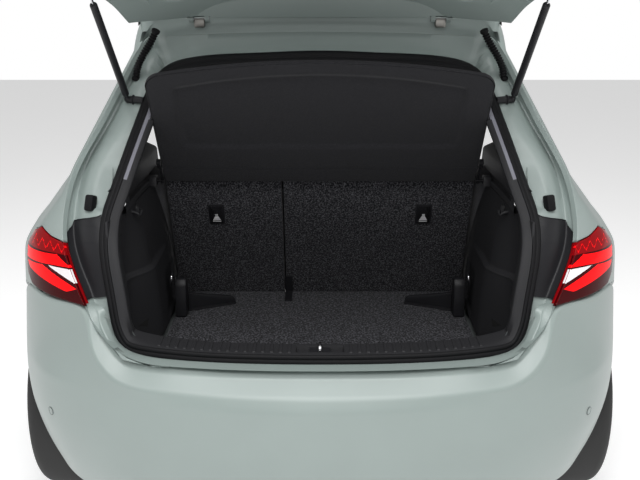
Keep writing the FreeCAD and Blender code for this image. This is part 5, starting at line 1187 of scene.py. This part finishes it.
pair("shelf_lug", lug, soft_black, slot="black_plastic")
print("shelf faces:", len(shelf[1]))

# %% [markdown]
# ## The body's inside and its cut faces
# Behind the paint stands an inner shell, 75 mm in. Strips join the two along the door opening, the
# wheel arch and the flat cut, so every opening shows a real thickness.

# %% Inner shell and jambs
SHELL = 0.0745


def inner_side(s, h):
    return side_skin(s, h, SHELL)


def on_inner(s, h):
    p = side_skin(s, h)
    return on_side(s, h) & ~(covers(seal_area, p) & (p[..., 1] < -0.45)) \
        | (covers(below_bumper, p) & (p[..., 1] < -0.80) & (p[..., 2] > 0.35)
           & (p[..., 2] < 0.74) & (p[..., 0] > 0.5))


seal_area = closed_at(seal_curve, 1.47, 0.3)
shell_points, shell_faces = trimmed(inner_side, side_curves, on_inner, np.linspace(0.2, 0.998, 60),
                                    np.linspace(0.22, 1.475, 60), keep=0.008)
shell = (inner_side(shell_points[:, 0], shell_points[:, 1]), [f[::-1] for f in shell_faces])
pair("inner_shell", shell, primer)


def jamb(curve, near=0.006, far=SHELL, steps=4):
    depths = np.linspace(near, far, steps)
    return grid([side_skin(curve[:, 0], curve[:, 1], d) for d in depths])


def held(curve, keep):
    p = side_skin(curve[:, 0], curve[:, 1])
    return curve[keep(p[:, 0], p[:, 1], p[:, 2])]


door_jamb = held(side_curves[4], lambda x, y, z: (y < -0.002) & (z < CUT_TOP))
arch_jamb = held(side_curves[3], lambda x, y, z: (z > SILL_LOW)
                 & ~(within(below_bumper, x, z - BUMPER_GAP) & (y < BUMPER_FRONT)))
front_cut = np.stack([np.full(30, FRONT_S), np.linspace(0.214, 0.345, 30)], 1)
top_ends = [float(side_s(CUT_TOP, y=y)) for y in (-0.232, -0.201)]
top_cut = np.stack([np.linspace(*top_ends, 6), np.full(6, CUT_TOP)], 1)
roof_heights = np.linspace(1.342, 1.477, 20)
roof_cut = np.stack([side_s(roof_heights, y=CUT_BACK), roof_heights], 1)
sill_start = float(side_s(0.2125, y=-0.105))
sill_edge = np.stack([np.linspace(sill_start, FRONT_S, 30), np.full(30, 0.2125)], 1)
for name, curve, material in (
        ("door_jamb", door_jamb, paint), ("arch_jamb", arch_jamb, chassis),
        ("front_cut", front_cut, primer), ("top_cut", top_cut, primer),
        ("roof_side_cut", roof_cut, primer), ("sill_edge", sill_edge, chassis)):
    pair(name, jamb(curve), material)
cut_rows = [[(x, CUT_BACK, roof_h(x, CUT_BACK) - d) for x in roof_x] for d in (0.006, 0.074)]
add("roof_front_cut", grid(cut_rows), primer, stands_for=("roof_panel",))
print("inner shell faces:", len(shell_faces))

# %% [markdown]
# ## Hinges and struts
# Each hinge is a steel block on the roof edge with a pin through two leaves. The struts' lower
# ball stands on a boss in the gutter.

# %% Hinges and strut fittings
for side in (-1, 1):
    tag = "right" if side > 0 else "left"
    x = side * 0.330
    hinge_block = block((x - 0.0148, -0.514, 1.3995), (x + 0.0148, -0.474, 1.424), 0.004)
    add("hinge_block_" + tag, hinge_block, dull_steel)
    pin = lathe([(-0.0275, 0.0), (-0.0275, 0.0065), (-0.0255, 0.0075), (-0.0250, 0.004),
                 (0.0250, 0.004), (0.0255, 0.0075), (0.0275, 0.0065), (0.0275, 0.0)],
                (x, HINGE_Y, HINGE_H))
    add("hinge_pin_" + tag, pin, bright)
LOW_BALL, SHUT_BALL = np.array((0.520, -0.605, 1.217)), np.array((0.575, -0.860, 0.9577))
OPEN_BALL = opened(SHUT_BALL)
SWING = np.cross(OPEN_BALL - LOW_BALL, SHUT_BALL - LOW_BALL)
SWING = SWING / np.linalg.norm(SWING)
TUBE_WAY = (OPEN_BALL - LOW_BALL) / np.linalg.norm(OPEN_BALL - LOW_BALL)
STRUT_LONG, STRUT_SHORT = np.linalg.norm(OPEN_BALL - LOW_BALL), np.linalg.norm(SHUT_BALL - LOW_BALL)
boss_side = -SWING * np.sign(SWING[0])
boss = lathe([(0.0055, 0.0), (0.0055, 0.010), (0.0130, 0.0105), (0.0145, 0.0125), (0.0155, 0.0135),
              (0.0170, 0.0135), (0.020, 0.010), (0.045, 0.009)], LOW_BALL, boss_side, 32)
pair("strut_boss", boss, soft_black, stands_for=("quarter_panel_SIDE",))
ball_pin = lathe([(-0.0062, 0.0), (-0.0062, 0.0035), (-0.0055, 0.004), (0.006, 0.004)], LOW_BALL,
                 boss_side, 24)
pair("strut_ball_pin", ball_pin, bright)
tube_end = STRUT_SHORT - 0.032
cylinder = joined(
    lathe([(-0.009, 0.0), (-0.0085, 0.004), (-0.006, 0.0075), (0.0, 0.0088), (0.006, 0.0078),
           (0.009, 0.0058), (0.012, 0.0048), (0.016, 0.0048), (0.0165, 0.0072), (0.0195, 0.0085),
           (0.021, 0.0093), (0.024, 0.0095), (tube_end - 0.006, 0.0095), (tube_end - 0.003, 0.0092),
           (tube_end - 0.001, 0.0080), (tube_end, 0.0065), (tube_end + 0.0005, 0.0037),
           (tube_end - 0.010, 0.0037)], LOW_BALL, TUBE_WAY, 36))
pair("strut_tube", cylinder, soft_black, body="strut_cylinder_SIDE",
     stands_for=("strut_cylinder_SIDE",), slot="strut_black")
rod_start = STRUT_LONG - STRUT_SHORT + 0.028
rod = lathe([(rod_start, 0.0), (rod_start, 0.0034), (STRUT_LONG - 0.030, 0.0034)], LOW_BALL,
            TUBE_WAY, 24)
pair("strut_piston_rod", rod, bright, body="strut_rod_SIDE", stands_for=("strut_rod_SIDE",),
     slot="strut_steel")
socket = lathe([(STRUT_LONG + d, r) for d, r in (
    (-0.0308, 0.0036), (-0.030, 0.0062), (-0.018, 0.0068), (-0.012, 0.0055), (-0.008, 0.0080),
    (0.0, 0.0090), (0.006, 0.0078), (0.0088, 0.0040), (0.0092, 0.0))], LOW_BALL, TUBE_WAY, 32)
pair("strut_socket", socket, soft_black, body="strut_rod_SIDE", slot="strut_black")
print("strut length", round(float(STRUT_LONG), 3), "m open")

# %% [markdown]
# ## Seat backs
# Each seat back is one profile stretched sideways: carpet on a hard board behind, a padded front
# with stitched channels, and headrests on steel posts. The lean is applied last, to every point.

# %% Seat backs
SEAT_Y, SEAT_H, SEAT_LEAN = -0.2429, 0.5718, math.radians(25)


def leaned(points):
    c, s = math.cos(SEAT_LEAN), math.sin(SEAT_LEAN)
    points = np.array(points, float)
    return np.stack([points[:, 0], points[:, 1] * c - points[:, 2] * s + SEAT_Y,
                     points[:, 1] * s + points[:, 2] * c + SEAT_H], 1)


def add_leaned(name, shape, *rest, **more):
    add(name, (leaned(shape[0]), shape[1]), *rest, **more)


def seat_profile(puff):
    top, low = 0.440, -0.036
    back = [(-0.0452, low + 0.004), (-0.0452, 0.10), (-0.0452, 0.25), (-0.0452, top - 0.022),
            (-0.0440, top - 0.012), (-0.0385, top - 0.004), (-0.030, top)]
    front = [(-0.010, top + 0.001), (0.012, top - 0.002), (0.024, top - 0.014),
             (0.029 + puff, top - 0.040), (0.030 + puff, 0.33), (0.033 + puff, 0.25),
             (0.036 + puff, 0.15), (0.040 + puff, 0.06), (0.043 + puff * 0.6, 0.0),
             (0.040, -0.022), (0.020, low)]
    return back, front


def seat(name, x0, x1, body, headrests, tether):
    board = [[(x, y, z) for y, z in seat_profile(0)[0]] for x in
             np.r_[x0, x0 + 0.001, x0 + 0.004, np.linspace(x0 + 0.02, x1 - 0.02, 12), x1 - 0.004,
                   x1 - 0.001, x1]]
    for row, tuck in zip((0, 1, -2, -1), (0.004, 0.0012, 0.0012, 0.004)):
        board[row] = [(x, y + tuck, z) for x, y, z in board[row]]
    add_leaned(name + "_board", grid(board), carpet, body=body, stands_for=(name,),
               slot="carpet")
    cushion = []
    width = x1 - x0
    for t in np.linspace(0, 1, 97):
        x = x0 + width * t
        edge = min(t, 1 - t) * width
        side = math.sqrt(max(0.0, 1 - (1 - min(1, edge / 0.030)) ** 2))
        channel = min(abs((x - x0 - width * k / 3)) for k in (1, 2)) if width > 0.4 else \
            min(abs(x - x0 - width * k / 2) for k in (1,)) + 0.01
        groove = 0.007 * math.exp(-(channel / 0.006) ** 2)
        puff = 0.010 * side - groove
        cushion.append([(x, -0.030 + (y + 0.030) * (0.55 + 0.45 * side), z)
                        for y, z in seat_profile(puff)[1]])
    cushion = [[(cushion[0][0][0], -0.030, z) for _, _, z in cushion[0]]] + cushion \
        + [[(cushion[-1][0][0], -0.030, z) for _, _, z in cushion[-1]]]
    add_leaned(name + "_cushion", grid(cushion), seat_cloth, body=body, angle=60,
               slot="seat_cloth")
    underside = grid([[(x, y, -0.036) for y in (-0.044, 0.022)] for x in (x0 + 0.002, x1 - 0.002)])
    add_leaned(name + "_base", underside, soft_black, body=body)
    for k, x in enumerate(headrests):
        rows = []
        for lift in np.linspace(-1, 1, 25):
            ring = (1 - abs(lift) ** 4) ** 0.25 if abs(lift) < 1 else 0.0
            rows.append([(x + 0.123 * ring * np.sign(math.cos(t)) * abs(math.cos(t)) ** 0.55,
                          0.038 * ring * np.sign(math.sin(t)) * abs(math.sin(t)) ** 0.75,
                          0.546 + 0.064 * lift) for t in np.linspace(0, 2 * math.pi, 49)[:-1]])
        add_leaned("%s_headrest_%d" % (name, k), grid(rows, closed_columns=True), seat_cloth,
                   body=body, angle=70, slot="seat_cloth")
        for post_x in (x - 0.070, x + 0.070):
            stem = lathe([(0.0, 0.0058), (0.062, 0.0058)], (post_x, 0, 0.436), (0, 0, 1), 20)
            collar = lathe([(0.0, 0.016), (0.005, 0.015), (0.009, 0.0105), (0.010, 0.0058)],
                           (post_x, 0, 0.4395), (0, 0, 1), 24)
            add_leaned("%s_post_%d_%d" % (name, k, post_x > x), joined(stem, collar), bright,
                       body=body)
    for part, outline, back, thick, bevel, corner, material in TETHER:
        shape = slab(outline, (tether, back, TETHER_H), (1, 0, 0), (0, 0, 1), thick, bevel, corner)
        add_leaned("%s_tether_%s" % (name, part), shape, material, body=body)


TETHER_H = 0.323
TETHER = [
    ("frame", oblong(0.0235, -0.037, 0.037), -0.0455, 0.0032, 0.0012, 0.004, soft_black),
    ("flap", oblong(0.0180, -0.031, 0.031), -0.0488, 0.0010, 0.0004, 0.002, gloss_black),
    ("mark", [(-0.0125, -0.022), (0.0125, -0.022), (0.0050, -0.006), (-0.0050, -0.006)], -0.0499,
     0.0004, 0.0001, 0.0, mark_white),
    ("bar", oblong(0.0125, -0.0275, -0.0250), -0.0499, 0.0004, 0.0001, 0.0, mark_white),
    ("dot", oblong(0.004, -0.004, 0.002), -0.0499, 0.0004, 0.0001, 0.0, mark_white)]
seat_cloth = finish("seat_cloth", (0.030, 0.030, 0.034), 0.9, grain=0.8, grain_size=900,
                    fleck=(0.055, 0.055, 0.060), fleck_size=700, sheen=0.2)
seat("backrest_wide", -0.1074, 0.450, "backrest_wide", (0.275, 0.0), 0.310)
seat("backrest_narrow", -0.450, -0.1126, "backrest_narrow", (-0.275,), -0.310)
# A thin black strip in the split between the two seat backs is painted shade in the gap.
gap_shade_strip = slab([(-0.1122, 0.03), (-0.1078, 0.03), (-0.1078, 0.425), (-0.1122, 0.425)],
                 (0, -0.010, 0), (1, 0, 0), (0, 0, 1), 0.004, 0.0005)
add_leaned("split_shadow_strip", gap_shade_strip, soft_black, body="backrest_wide")
strap = leaned([(x, -0.0505 - d, z) for z in np.linspace(0.062, -0.030, 8) for x, d in
                ((-0.112, 0), (-0.111, 0.003), (-0.090, 0.003), (-0.089, 0))])
strap_faces = grid(np.array(strap).reshape(8, 4, 3))[1]
add("centre_strap", (strap, strap_faces), soft_black)
print("seat backs ready")

# %% [markdown]
# ## Small fittings
# Cargo brackets, bag hooks, lashing eyes and the latch's striker are each a few bevelled blocks and
# bent rods, set where the hands would look for them.

# %% Small fittings
wedge_post = slab([(-0.030, 0.0), (0.030, 0.0), (0.028, 0.060), (0.016, 0.106), (0.004, 0.117),
                   (-0.012, 0.117), (-0.024, 0.100), (-0.030, 0.050)], (0.3985, -0.488, 0.5505),
                  (0, 1, 0), (0, 0, 1), 0.033, 0.004, 0.006)
pair("cargo_post", wedge_post, soft_black, stands_for=("cargo_brackets",), slot="black_plastic")
way = np.array((math.sin(math.radians(-68)), math.cos(math.radians(-68)), 0.0))
leg = slab([(0.0, 0.0), (0.152, 0.0), (0.152, 0.016), (0.144, 0.023), (0.040, 0.045), (0.0, 0.056)],
           (0.404, -0.452, 0.5505), way, (0, 0, 1), 0.014, 0.003, 0.004)
pair("cargo_leg", leg, soft_black, slot="black_plastic")
foot = slab([(-0.010, -0.016), (0.148, -0.018), (0.156, -0.004), (0.150, 0.010), (-0.004, 0.016)],
            (0.404, -0.452, 0.5503), way, np.cross((0, 0, 1), way), 0.004, 0.001, 0.004)
pair("cargo_foot", foot, soft_black)
for k, (y, h, x) in enumerate(((-0.4250, 0.5530, 0.4235), (-0.492, 0.664, 0.4415))):
    bend = [(x, y + 0.0135 * math.cos(t), h + 0.0155 * math.sin(t)) for t in
            np.linspace(-0.1, math.pi + 0.1, 25)]
    ring = tube(bend, 0.0036, 14)
    pair("lashing_eye_%d" % k, ring, bright, slot="bright_steel",
         stands_for=("lashing_eyes",) if k == 0 else ())
    seat_plate = slab(oblong(0.022, -0.010, 0.010), (x, y, h - 0.0035 if k == 0 else h - 0.004),
                      (0, 1, 0), (1, 0, 0) if k == 0 else (0, 0, 1), 0.003, 0.001, 0.004)
    pair("lashing_plate_%d" % k, seat_plate, soft_black)
hook_x = trim_x(-0.706, 0.925)
hook = tube([(hook_x + dx, -0.706, h) for dx, h in (
    (0.002, 0.930), (-0.010, 0.927), (-0.019, 0.921), (-0.023, 0.926), (-0.024, 0.935))],
    0.0052, 14)
pair("bag_hook", hook, soft_black, stands_for=("bag_hooks",), slot="black_plastic")
rim_ring = lathe([(-0.001, 0.0165), (0.0015, 0.0160), (0.0020, 0.0150), (0.0008, 0.0142),
                  (-0.004, 0.0140)],
                 (trim_x(-0.668, 0.9285) - 0.0045, -0.668, 0.9285), (-1, 0.12, 0.1), 32)
pair("bag_hook_ring", rim_ring, soft_black)
STRIKER_Y, base_h = -1.014, 0.6595
arc = [(0, STRIKER_Y - 0.016 * math.cos(t), base_h + 0.006 + 0.011 * math.sin(t))
       for t in np.linspace(0, math.pi, 15)]
feet = [(0, STRIKER_Y + d, base_h) for d in (-0.016, 0.016)]
bow = tube(feet[:1] + arc + feet[1:], 0.0042, 16)
add("striker_bow", bow, bright, stands_for=("latch_striker",), slot="bright_steel")
striker_plate = slab(oblong(0.026, -0.024, 0.024), (0, STRIKER_Y, base_h - 0.0005), (1, 0, 0),
                     (0, 1, 0), 0.0025, 0.0008, 0.006)
add("striker_plate", striker_plate, soft_black)
print("small fittings ready")

# %% [markdown]
# ## Beside the seats
# Fixed bolsters close the space between the folding seat backs and the side trims, and a dark
# lining carries the pillar trim forward to the cut.

# %% Bolsters and pillar lining
for side in (-1, 1):
    tag = "right" if side > 0 else "left"
    rows = []
    for t in np.linspace(0, 1, 13):
        x = 0.4560 + 0.084 * t
        edge = math.sqrt(max(0.0, 1 - (1 - min(1, t * 0.084 / 0.018)) ** 2))
        rows.append([(side * x, 0.004 + (y - 0.004) * (0.35 + 0.65 * edge), z) for y, z in
                     ((-0.040, -0.030), (-0.042, 0.10), (-0.042, 0.30), (-0.042, 0.425),
                      (-0.030, 0.440), (0.0, 0.446), (0.040, 0.440), (0.075, 0.410), (0.085, 0.30),
                      (0.090, 0.12), (0.090, 0.0), (0.070, -0.035))])
    add_leaned("seat_bolster_" + tag, grid(rows if side < 0 else rows[::-1]), seat_cloth, angle=60)
lining_dark = finish("lining_dark", (0.060, 0.060, 0.066), 0.8, grain=0.3, grain_size=1200)
rows = []
for h in np.linspace(0.955, 1.345, 28):
    row = [skin_xy(float(side_s(h, y=-0.640)), h, 0.090)]
    for y in np.linspace(-0.60, -0.235, 14):
        row.append(skin_xy(float(side_s(h, y=y)), h, 0.090))
    end_x, end_y = row[-1]
    for t in np.linspace(0.15, 1, 7):
        bend = math.radians(90 * t)
        row.append((end_x - 0.060 * (1 - math.cos(bend)), end_y + 0.050 * math.sin(bend)))
    rows.append([(float(x), float(y), h) for x, y in row])
pair("pillar_lining", grid(rows), lining_dark, stands_for=("pillar_trims",), slot="grey_trim")
print("bolsters and linings ready")

# %% [markdown]
# ## Bellows
# The tailgate's wires cross the gap inside a rubber bellows. It has one end on the body and one on
# the tailgate; its rings are a wave in the tube's radius.

# %% Bellows
hose_path = np.array([(0.505, -0.545, 1.262), (0.500, -0.552, 1.288), (0.487, -0.560, 1.318),
                      (0.470, -0.566, 1.345), (0.452, -0.572, 1.372), (0.438, -0.580, 1.398)])
hose_line = along(hose_path, 181)
hose_radius = 0.0085 + 0.0018 * np.cos(np.arange(181) * 2 * math.pi / 9.0)
hose_radius[:8] = hose_radius[-8:] = 0.0115
for side, flip in (("right", 1), ("left", -1)):
    shape = tube(hose_line * (flip, 1, 1), hose_radius, 16)
    if flip < 0:
        shape = (shape[0], [f[::-1] for f in shape[1]])
    hose = add("bellows_" + side, shape, rubber, angle=60, body=None,
               stands_for=("cable_gaiters",) if flip > 0 else (), slot="seal_rubber")
    start, end = [tuple(p * (flip, 1, 1) - (0, 0, ROAD)) for p in (hose_path[0], hose_path[-1])]
    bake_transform(hose)
print("bellows points:", len(hose_line))

# %% [markdown]
# ## Tailgate
# The tailgate's outer skin is cut from the same surface as the body, 6 mm inside the body's edge.
# The glass, the lamps and the number plate's recess are cut out of it by curves of their own.

# %% Tailgate skin
WINDOW = [(0.0, 0.683), (0.15, 0.683), (0.3, 0.683), (0.42, 0.6835), (0.5, 0.686),
          (0.545, 0.692), (0.572, 0.704), (0.583, 0.722), (0.58, 0.745), (0.562, 0.78),
          (0.53, 0.833), (0.505, 0.87), (0.478, 0.905), (0.44, 0.924), (0.38, 0.935),
          (0.28, 0.94), (0.15, 0.942), (0.0, 0.9425)]
INNER_LAMP = [(0.44, 0.592), (0.43, 0.54), (0.47, 0.53), (0.655, 0.533), (0.705, 0.602)]
PLATE_X, PLATE_LOW, PLATE_HIGH, PLATE_DEEP = 0.265, 0.735, 0.860, 0.0115
PROUD, TAIL_GAP = -0.0010, 0.006
window_half = mirrored_half(WINDOW, 160)
inner_lamp = np.array([(x * HALF_WIDTH, h * ROOF) for x, h in INNER_LAMP])
window_area = closed_at(window_half, window_half[-1, 1], window_half[0, 1])
tail_half = pulled(edge_curve, -TAIL_GAP)
tail_area = closed_at(tail_half, 1.47, tail_half[0, 1])
TAIL_FRONT = -0.516


def tail_skin(s, h, inset=PROUD):
    p = side_skin(np.abs(s), h, inset)
    return p * np.stack([np.where(np.asarray(s) < 0, -1.0, 1.0)] + [np.ones(np.shape(s))] * 2, -1)


def on_tail(s, h, cut=0.0015):
    p = side_skin(np.abs(s), h)
    x, y, z = p[..., 0], p[..., 1], p[..., 2]
    keep = within(tail_area, x, z) & (y < TAIL_FRONT) & ~within(below_bumper, x, z - TAIL_GAP)
    keep &= ~within(window_area, x, z)
    keep &= ~within(off_edge(inner_lamp, cut), x, z) | (y > -0.6)
    return keep & ~((x < PLATE_X) & (z > PLATE_LOW) & (z < PLATE_HIGH))


def both_ways(curve):
    return [curve, curve * (-1, 1)]


tail_up = tail_half[tail_half[:, 1] > 1.30]
tail_low = tail_half[(tail_half[:, 1] <= 1.301)]
plate_corner = [(0.0, PLATE_LOW), (PLATE_X, PLATE_LOW), (PLATE_X, PLATE_HIGH), (0.0, PLATE_HIGH)]
plate_curve = by_x(along(plate_corner, 60, False))
lamp_in = off_edge(inner_lamp, 0.0015)
lamp_in = along(np.vstack([lamp_in, lamp_in[:1]]), 60, False)
tail_curves = []
for curve in (by_x(tail_low), at_top(tail_up), by_x(window_half), plate_curve, by_x(lamp_in),
              by_x(bumper_line, TAIL_GAP)):
    tail_curves += both_ways(curve)
tail_heights = np.linspace(1.36, 1.478, 40)
front_edge = np.stack([side_s(tail_heights, y=TAIL_FRONT), tail_heights], 1)
tail_curves += both_ways(front_edge)
tail_panel = panel(tail_skin, tail_curves, on_tail, np.linspace(-0.56, 0.56, 90),
                   np.linspace(0.65, 1.475, 80), depth=0.008, keep=0.005)
add("tailgate_skin", tail_panel, paint, body="tailgate", lift=True, slot="body_paint")


def on_glass(s, h):
    return covers(glass_area, side_skin(np.abs(s), h))


glass_half = pulled(window_half, -0.002)
glass_area = closed_at(glass_half, glass_half[-1, 1], glass_half[0, 1])
glass = panel(lambda s, h: tail_skin(s, h, -0.0008), both_ways(by_x(glass_half)), on_glass,
              np.linspace(-0.5, 0.5, 60), np.linspace(0.98, 1.38, 40), depth=0.004)
add("rear_glass", glass, tinted, body="tailgate", lift=True, stands_for=("tailgate_glass",),
    slot="window_glass")
print("tailgate faces:", len(tail_panel[1]), "glass faces:", len(glass[1]))

# %% Plate recess, lamps and wiper
recess_rows = []
for d in (0.0, 0.004, 0.008, PLATE_DEEP):
    outline = oblong(PLATE_X, PLATE_LOW, PLATE_HIGH)
    outline = along(outline + outline[:1], 161, False)[:-1]
    recess_rows.append([(x, float(skin_y(x, h, d)), h) for x, h in outline])
add("plate_recess_walls", grid(recess_rows, closed_columns=True), soft_black, body="tailgate",
    lift=True)
floor_rows = [[(x, float(skin_y(x, h, PLATE_DEEP)), h) for x in np.linspace(-PLATE_X, PLATE_X, 31)]
              for h in np.linspace(PLATE_LOW, PLATE_HIGH, 9)]
add("plate_recess", grid(floor_rows), black_grain, body="tailgate", lift=True, slot="black_plastic")


def on_inner_lamp(s, h):
    p = side_skin(np.abs(s), h)
    return covers(inner_lamp, p) & covers(tail_area, p)


inner_ring = along(np.vstack([inner_lamp, inner_lamp[:1]]), 90, False)
inner_lens = panel(lambda s, h: side_skin(s, h, -0.0018), [by_x(inner_ring), by_x(tail_low)],
                   on_inner_lamp, np.linspace(0.25, 0.6, 44), np.linspace(0.76, 0.89, 26),
                   depth=0.006, keep=0.003)
for side, shape in (("right", inner_lens), ("left", flipped(inner_lens))):
    piece = add("inner_lamp_" + side, shape, dark_red, body="tailgate", lift=True,
                stands_for=("tailgate_lamps",) if side == "right" else (), slot="lamp_red")
wiper_y = float(skin_y(0.0, 1.018))
hub = lathe([(-0.0005, 0.020), (0.014, 0.0195), (0.021, 0.0165), (0.0255, 0.010), (0.0258, 0.0)],
            (0, wiper_y, 1.018), (0, -1, 0), 36)
arm = slab([(0.010, -0.0078), (0.010, 0.0078), (-0.150, 0.0065), (-0.298, 0.0035),
            (-0.298, -0.0035), (-0.150, -0.0065)], (0, wiper_y - 0.0172, 1.018), (1, 0, 0),
           (0, 0, 1), 0.0085, 0.003, 0.003)
blade = tube([(x, float(skin_y(x, 1.018)) - 0.006, 1.018) for x in np.linspace(-0.295, -0.020, 24)],
             0.0042, 10)
for name, shape in (("wiper_hub", hub), ("wiper_arm_cover", arm), ("wiper_blade", blade)):
    add(name, shape, soft_black, body="tailgate", lift=True,
        stands_for=("rear_wiper",) if name == "wiper_hub" else (), slot="black_plastic")
print("tailgate fittings ready")

# %% [markdown]
# ## Boot carpet
# The loose floor keeps the form of the frame's panel. It is seen at a low angle, so its pale fibres
# are drawn larger than those on the seat backs.

# %% Boot carpet
floor_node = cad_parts["boot_floor"]
floor_points = [floor_node.matrix_world @ v.co for v in floor_node.data.vertices]
floor_faces = [f.vertices for f in floor_node.data.polygons]
floor_shape = (np.array(floor_points) + (0, 0, ROAD), floor_faces)
boot_fibres = finish("boot_fibres", (0.009, 0.009, 0.011), 0.95, grain=0.9, grain_size=260,
                     fleck=(0.13, 0.13, 0.145), fleck_size=190, sheen=0.1, shine=0.2)
add("boot_carpet", floor_shape, boot_fibres, stands_for=("boot_floor",), slot="carpet")
print("carpet faces:", len(floor_shape[1]))

# %% Stage and camera
floor = bpy.data.meshes.new("floor")
FLOOR_HALF = 9
floor.from_pydata([(x * FLOOR_HALF, y * FLOOR_HALF, -ROAD) for x, y in
                   ((-1, -1), (1, -1), (1, 1), (-1, 1))], [], [(0, 1, 2, 3)])
floor_piece = bpy.data.objects.new("floor", floor)
bpy.context.scene.collection.objects.link(floor_piece)
floor.materials.append(finish("pale_floor", (0.86, 0.86, 0.86), 0.8, mottle=0.01, glow=0.42))
camera = bpy.data.objects.new("camera", bpy.data.cameras.new("camera"))
CAMERA_BACK, CAMERA_HEIGHT, CAMERA_DOWN = 3.1975, 1.612, math.radians(17)
camera.data.sensor_width, camera.data.lens = 36.0, 54.0
camera.data.dof.use_dof = False
camera.location = (0, -CAMERA_BACK, CAMERA_HEIGHT - ROAD)
camera.rotation_euler = (math.pi / 2 - CAMERA_DOWN, 0, 0)
bpy.context.scene.collection.objects.link(camera)
bpy.context.scene.camera = camera


def area_light(name, place, target, size, power, tall=None):
    light = bpy.data.lights.new(name, "AREA")
    light.energy, light.size = power, size
    if tall:
        light.shape, light.size_y = "RECTANGLE", tall
    lamp = bpy.data.objects.new(name, light)
    lamp.location = place
    lamp.rotation_euler = (Vector(target) - Vector(place)).to_track_quat("-Z", "Y").to_euler()
    bpy.context.scene.collection.objects.link(lamp)
    return lamp


area_light("overhead", (0, -2.0, 3.2), (0, -0.9, 0.4), 2.6, 150)
area_light("left_wall", (-3.2, -1.0, 1.9), (0, -0.7, 0.7), 2.0, 14, 1.6)
area_light("right_wall", (3.2, -1.0, 1.9), (0, -0.7, 0.7), 2.0, 14, 1.6)
area_light("behind_camera", (0, -4.6, 1.5), (0, -1.0, 0.4), 2.6, 16, 1.6)
world = bpy.data.worlds.new("studio")
bpy.context.scene.world = world
world.use_nodes = True
tree = world.node_tree
WHITE, WORLD_LIGHT, WORLD_SEEN = (1.0, 1.0, 1.0, 1), 0.33, 1.0
dim, seen = tree.nodes["Background"], tree.nodes.new("ShaderNodeBackground")
for node, strength in ((dim, WORLD_LIGHT), (seen, WORLD_SEEN)):
    node.inputs["Color"].default_value = WHITE
    node.inputs["Strength"].default_value = strength
path, mix = tree.nodes.new("ShaderNodeLightPath"), tree.nodes.new("ShaderNodeMixShader")
tree.links.new(path.outputs["Is Camera Ray"], mix.inputs["Fac"])
tree.links.new(dim.outputs["Background"], mix.inputs[1])
tree.links.new(seen.outputs["Background"], mix.inputs[2])
tree.links.new(mix.outputs["Shader"], tree.nodes["World Output"].inputs["Surface"])
bpy.context.scene.view_settings.view_transform = "Standard"

CARRIED = [
    (paint, "tailgate_panel tailgate_spoiler roof_panel quarter_panel_right quarter_panel_left"),
    (bumper_paint, "rear_bumper"), (red_lens, "tail_lamps tailgate_lamps"),
    (rubber, "bump_stops cable_gaiters"), (primer, "back_panel floor_pan wheelhouses"),
    (black_grain, "bumper_valance side_trim_right side_trim_left sill_trim tailgate_trim"),
    (grey_trim, "pillar_trims"), (cloth_grey, "headliner"), (felt, "parcel_shelf"),
    (soft_black, "lamp_covers bag_hooks rear_wiper strut_cylinder_right strut_cylinder_left "
                 "seat_centre_hinge cargo_brackets"),
    (bright, "latch_striker strut_rod_right strut_rod_left lashing_eyes"),
    (carpet, "boot_floor backrest_wide backrest_narrow"), (tinted, "tailgate_glass"),
    (chassis, "axle_beam coil_springs dampers"), (dull_steel, "silencer"),
    (tyre_rubber, "tyre_right tyre_left"), (alloy, "rim_right rim_left")]
for material, node_names in CARRIED:
    for node_name in node_names.split():
        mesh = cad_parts[node_name].data
        mesh.materials.clear()
        mesh.materials.append(material)
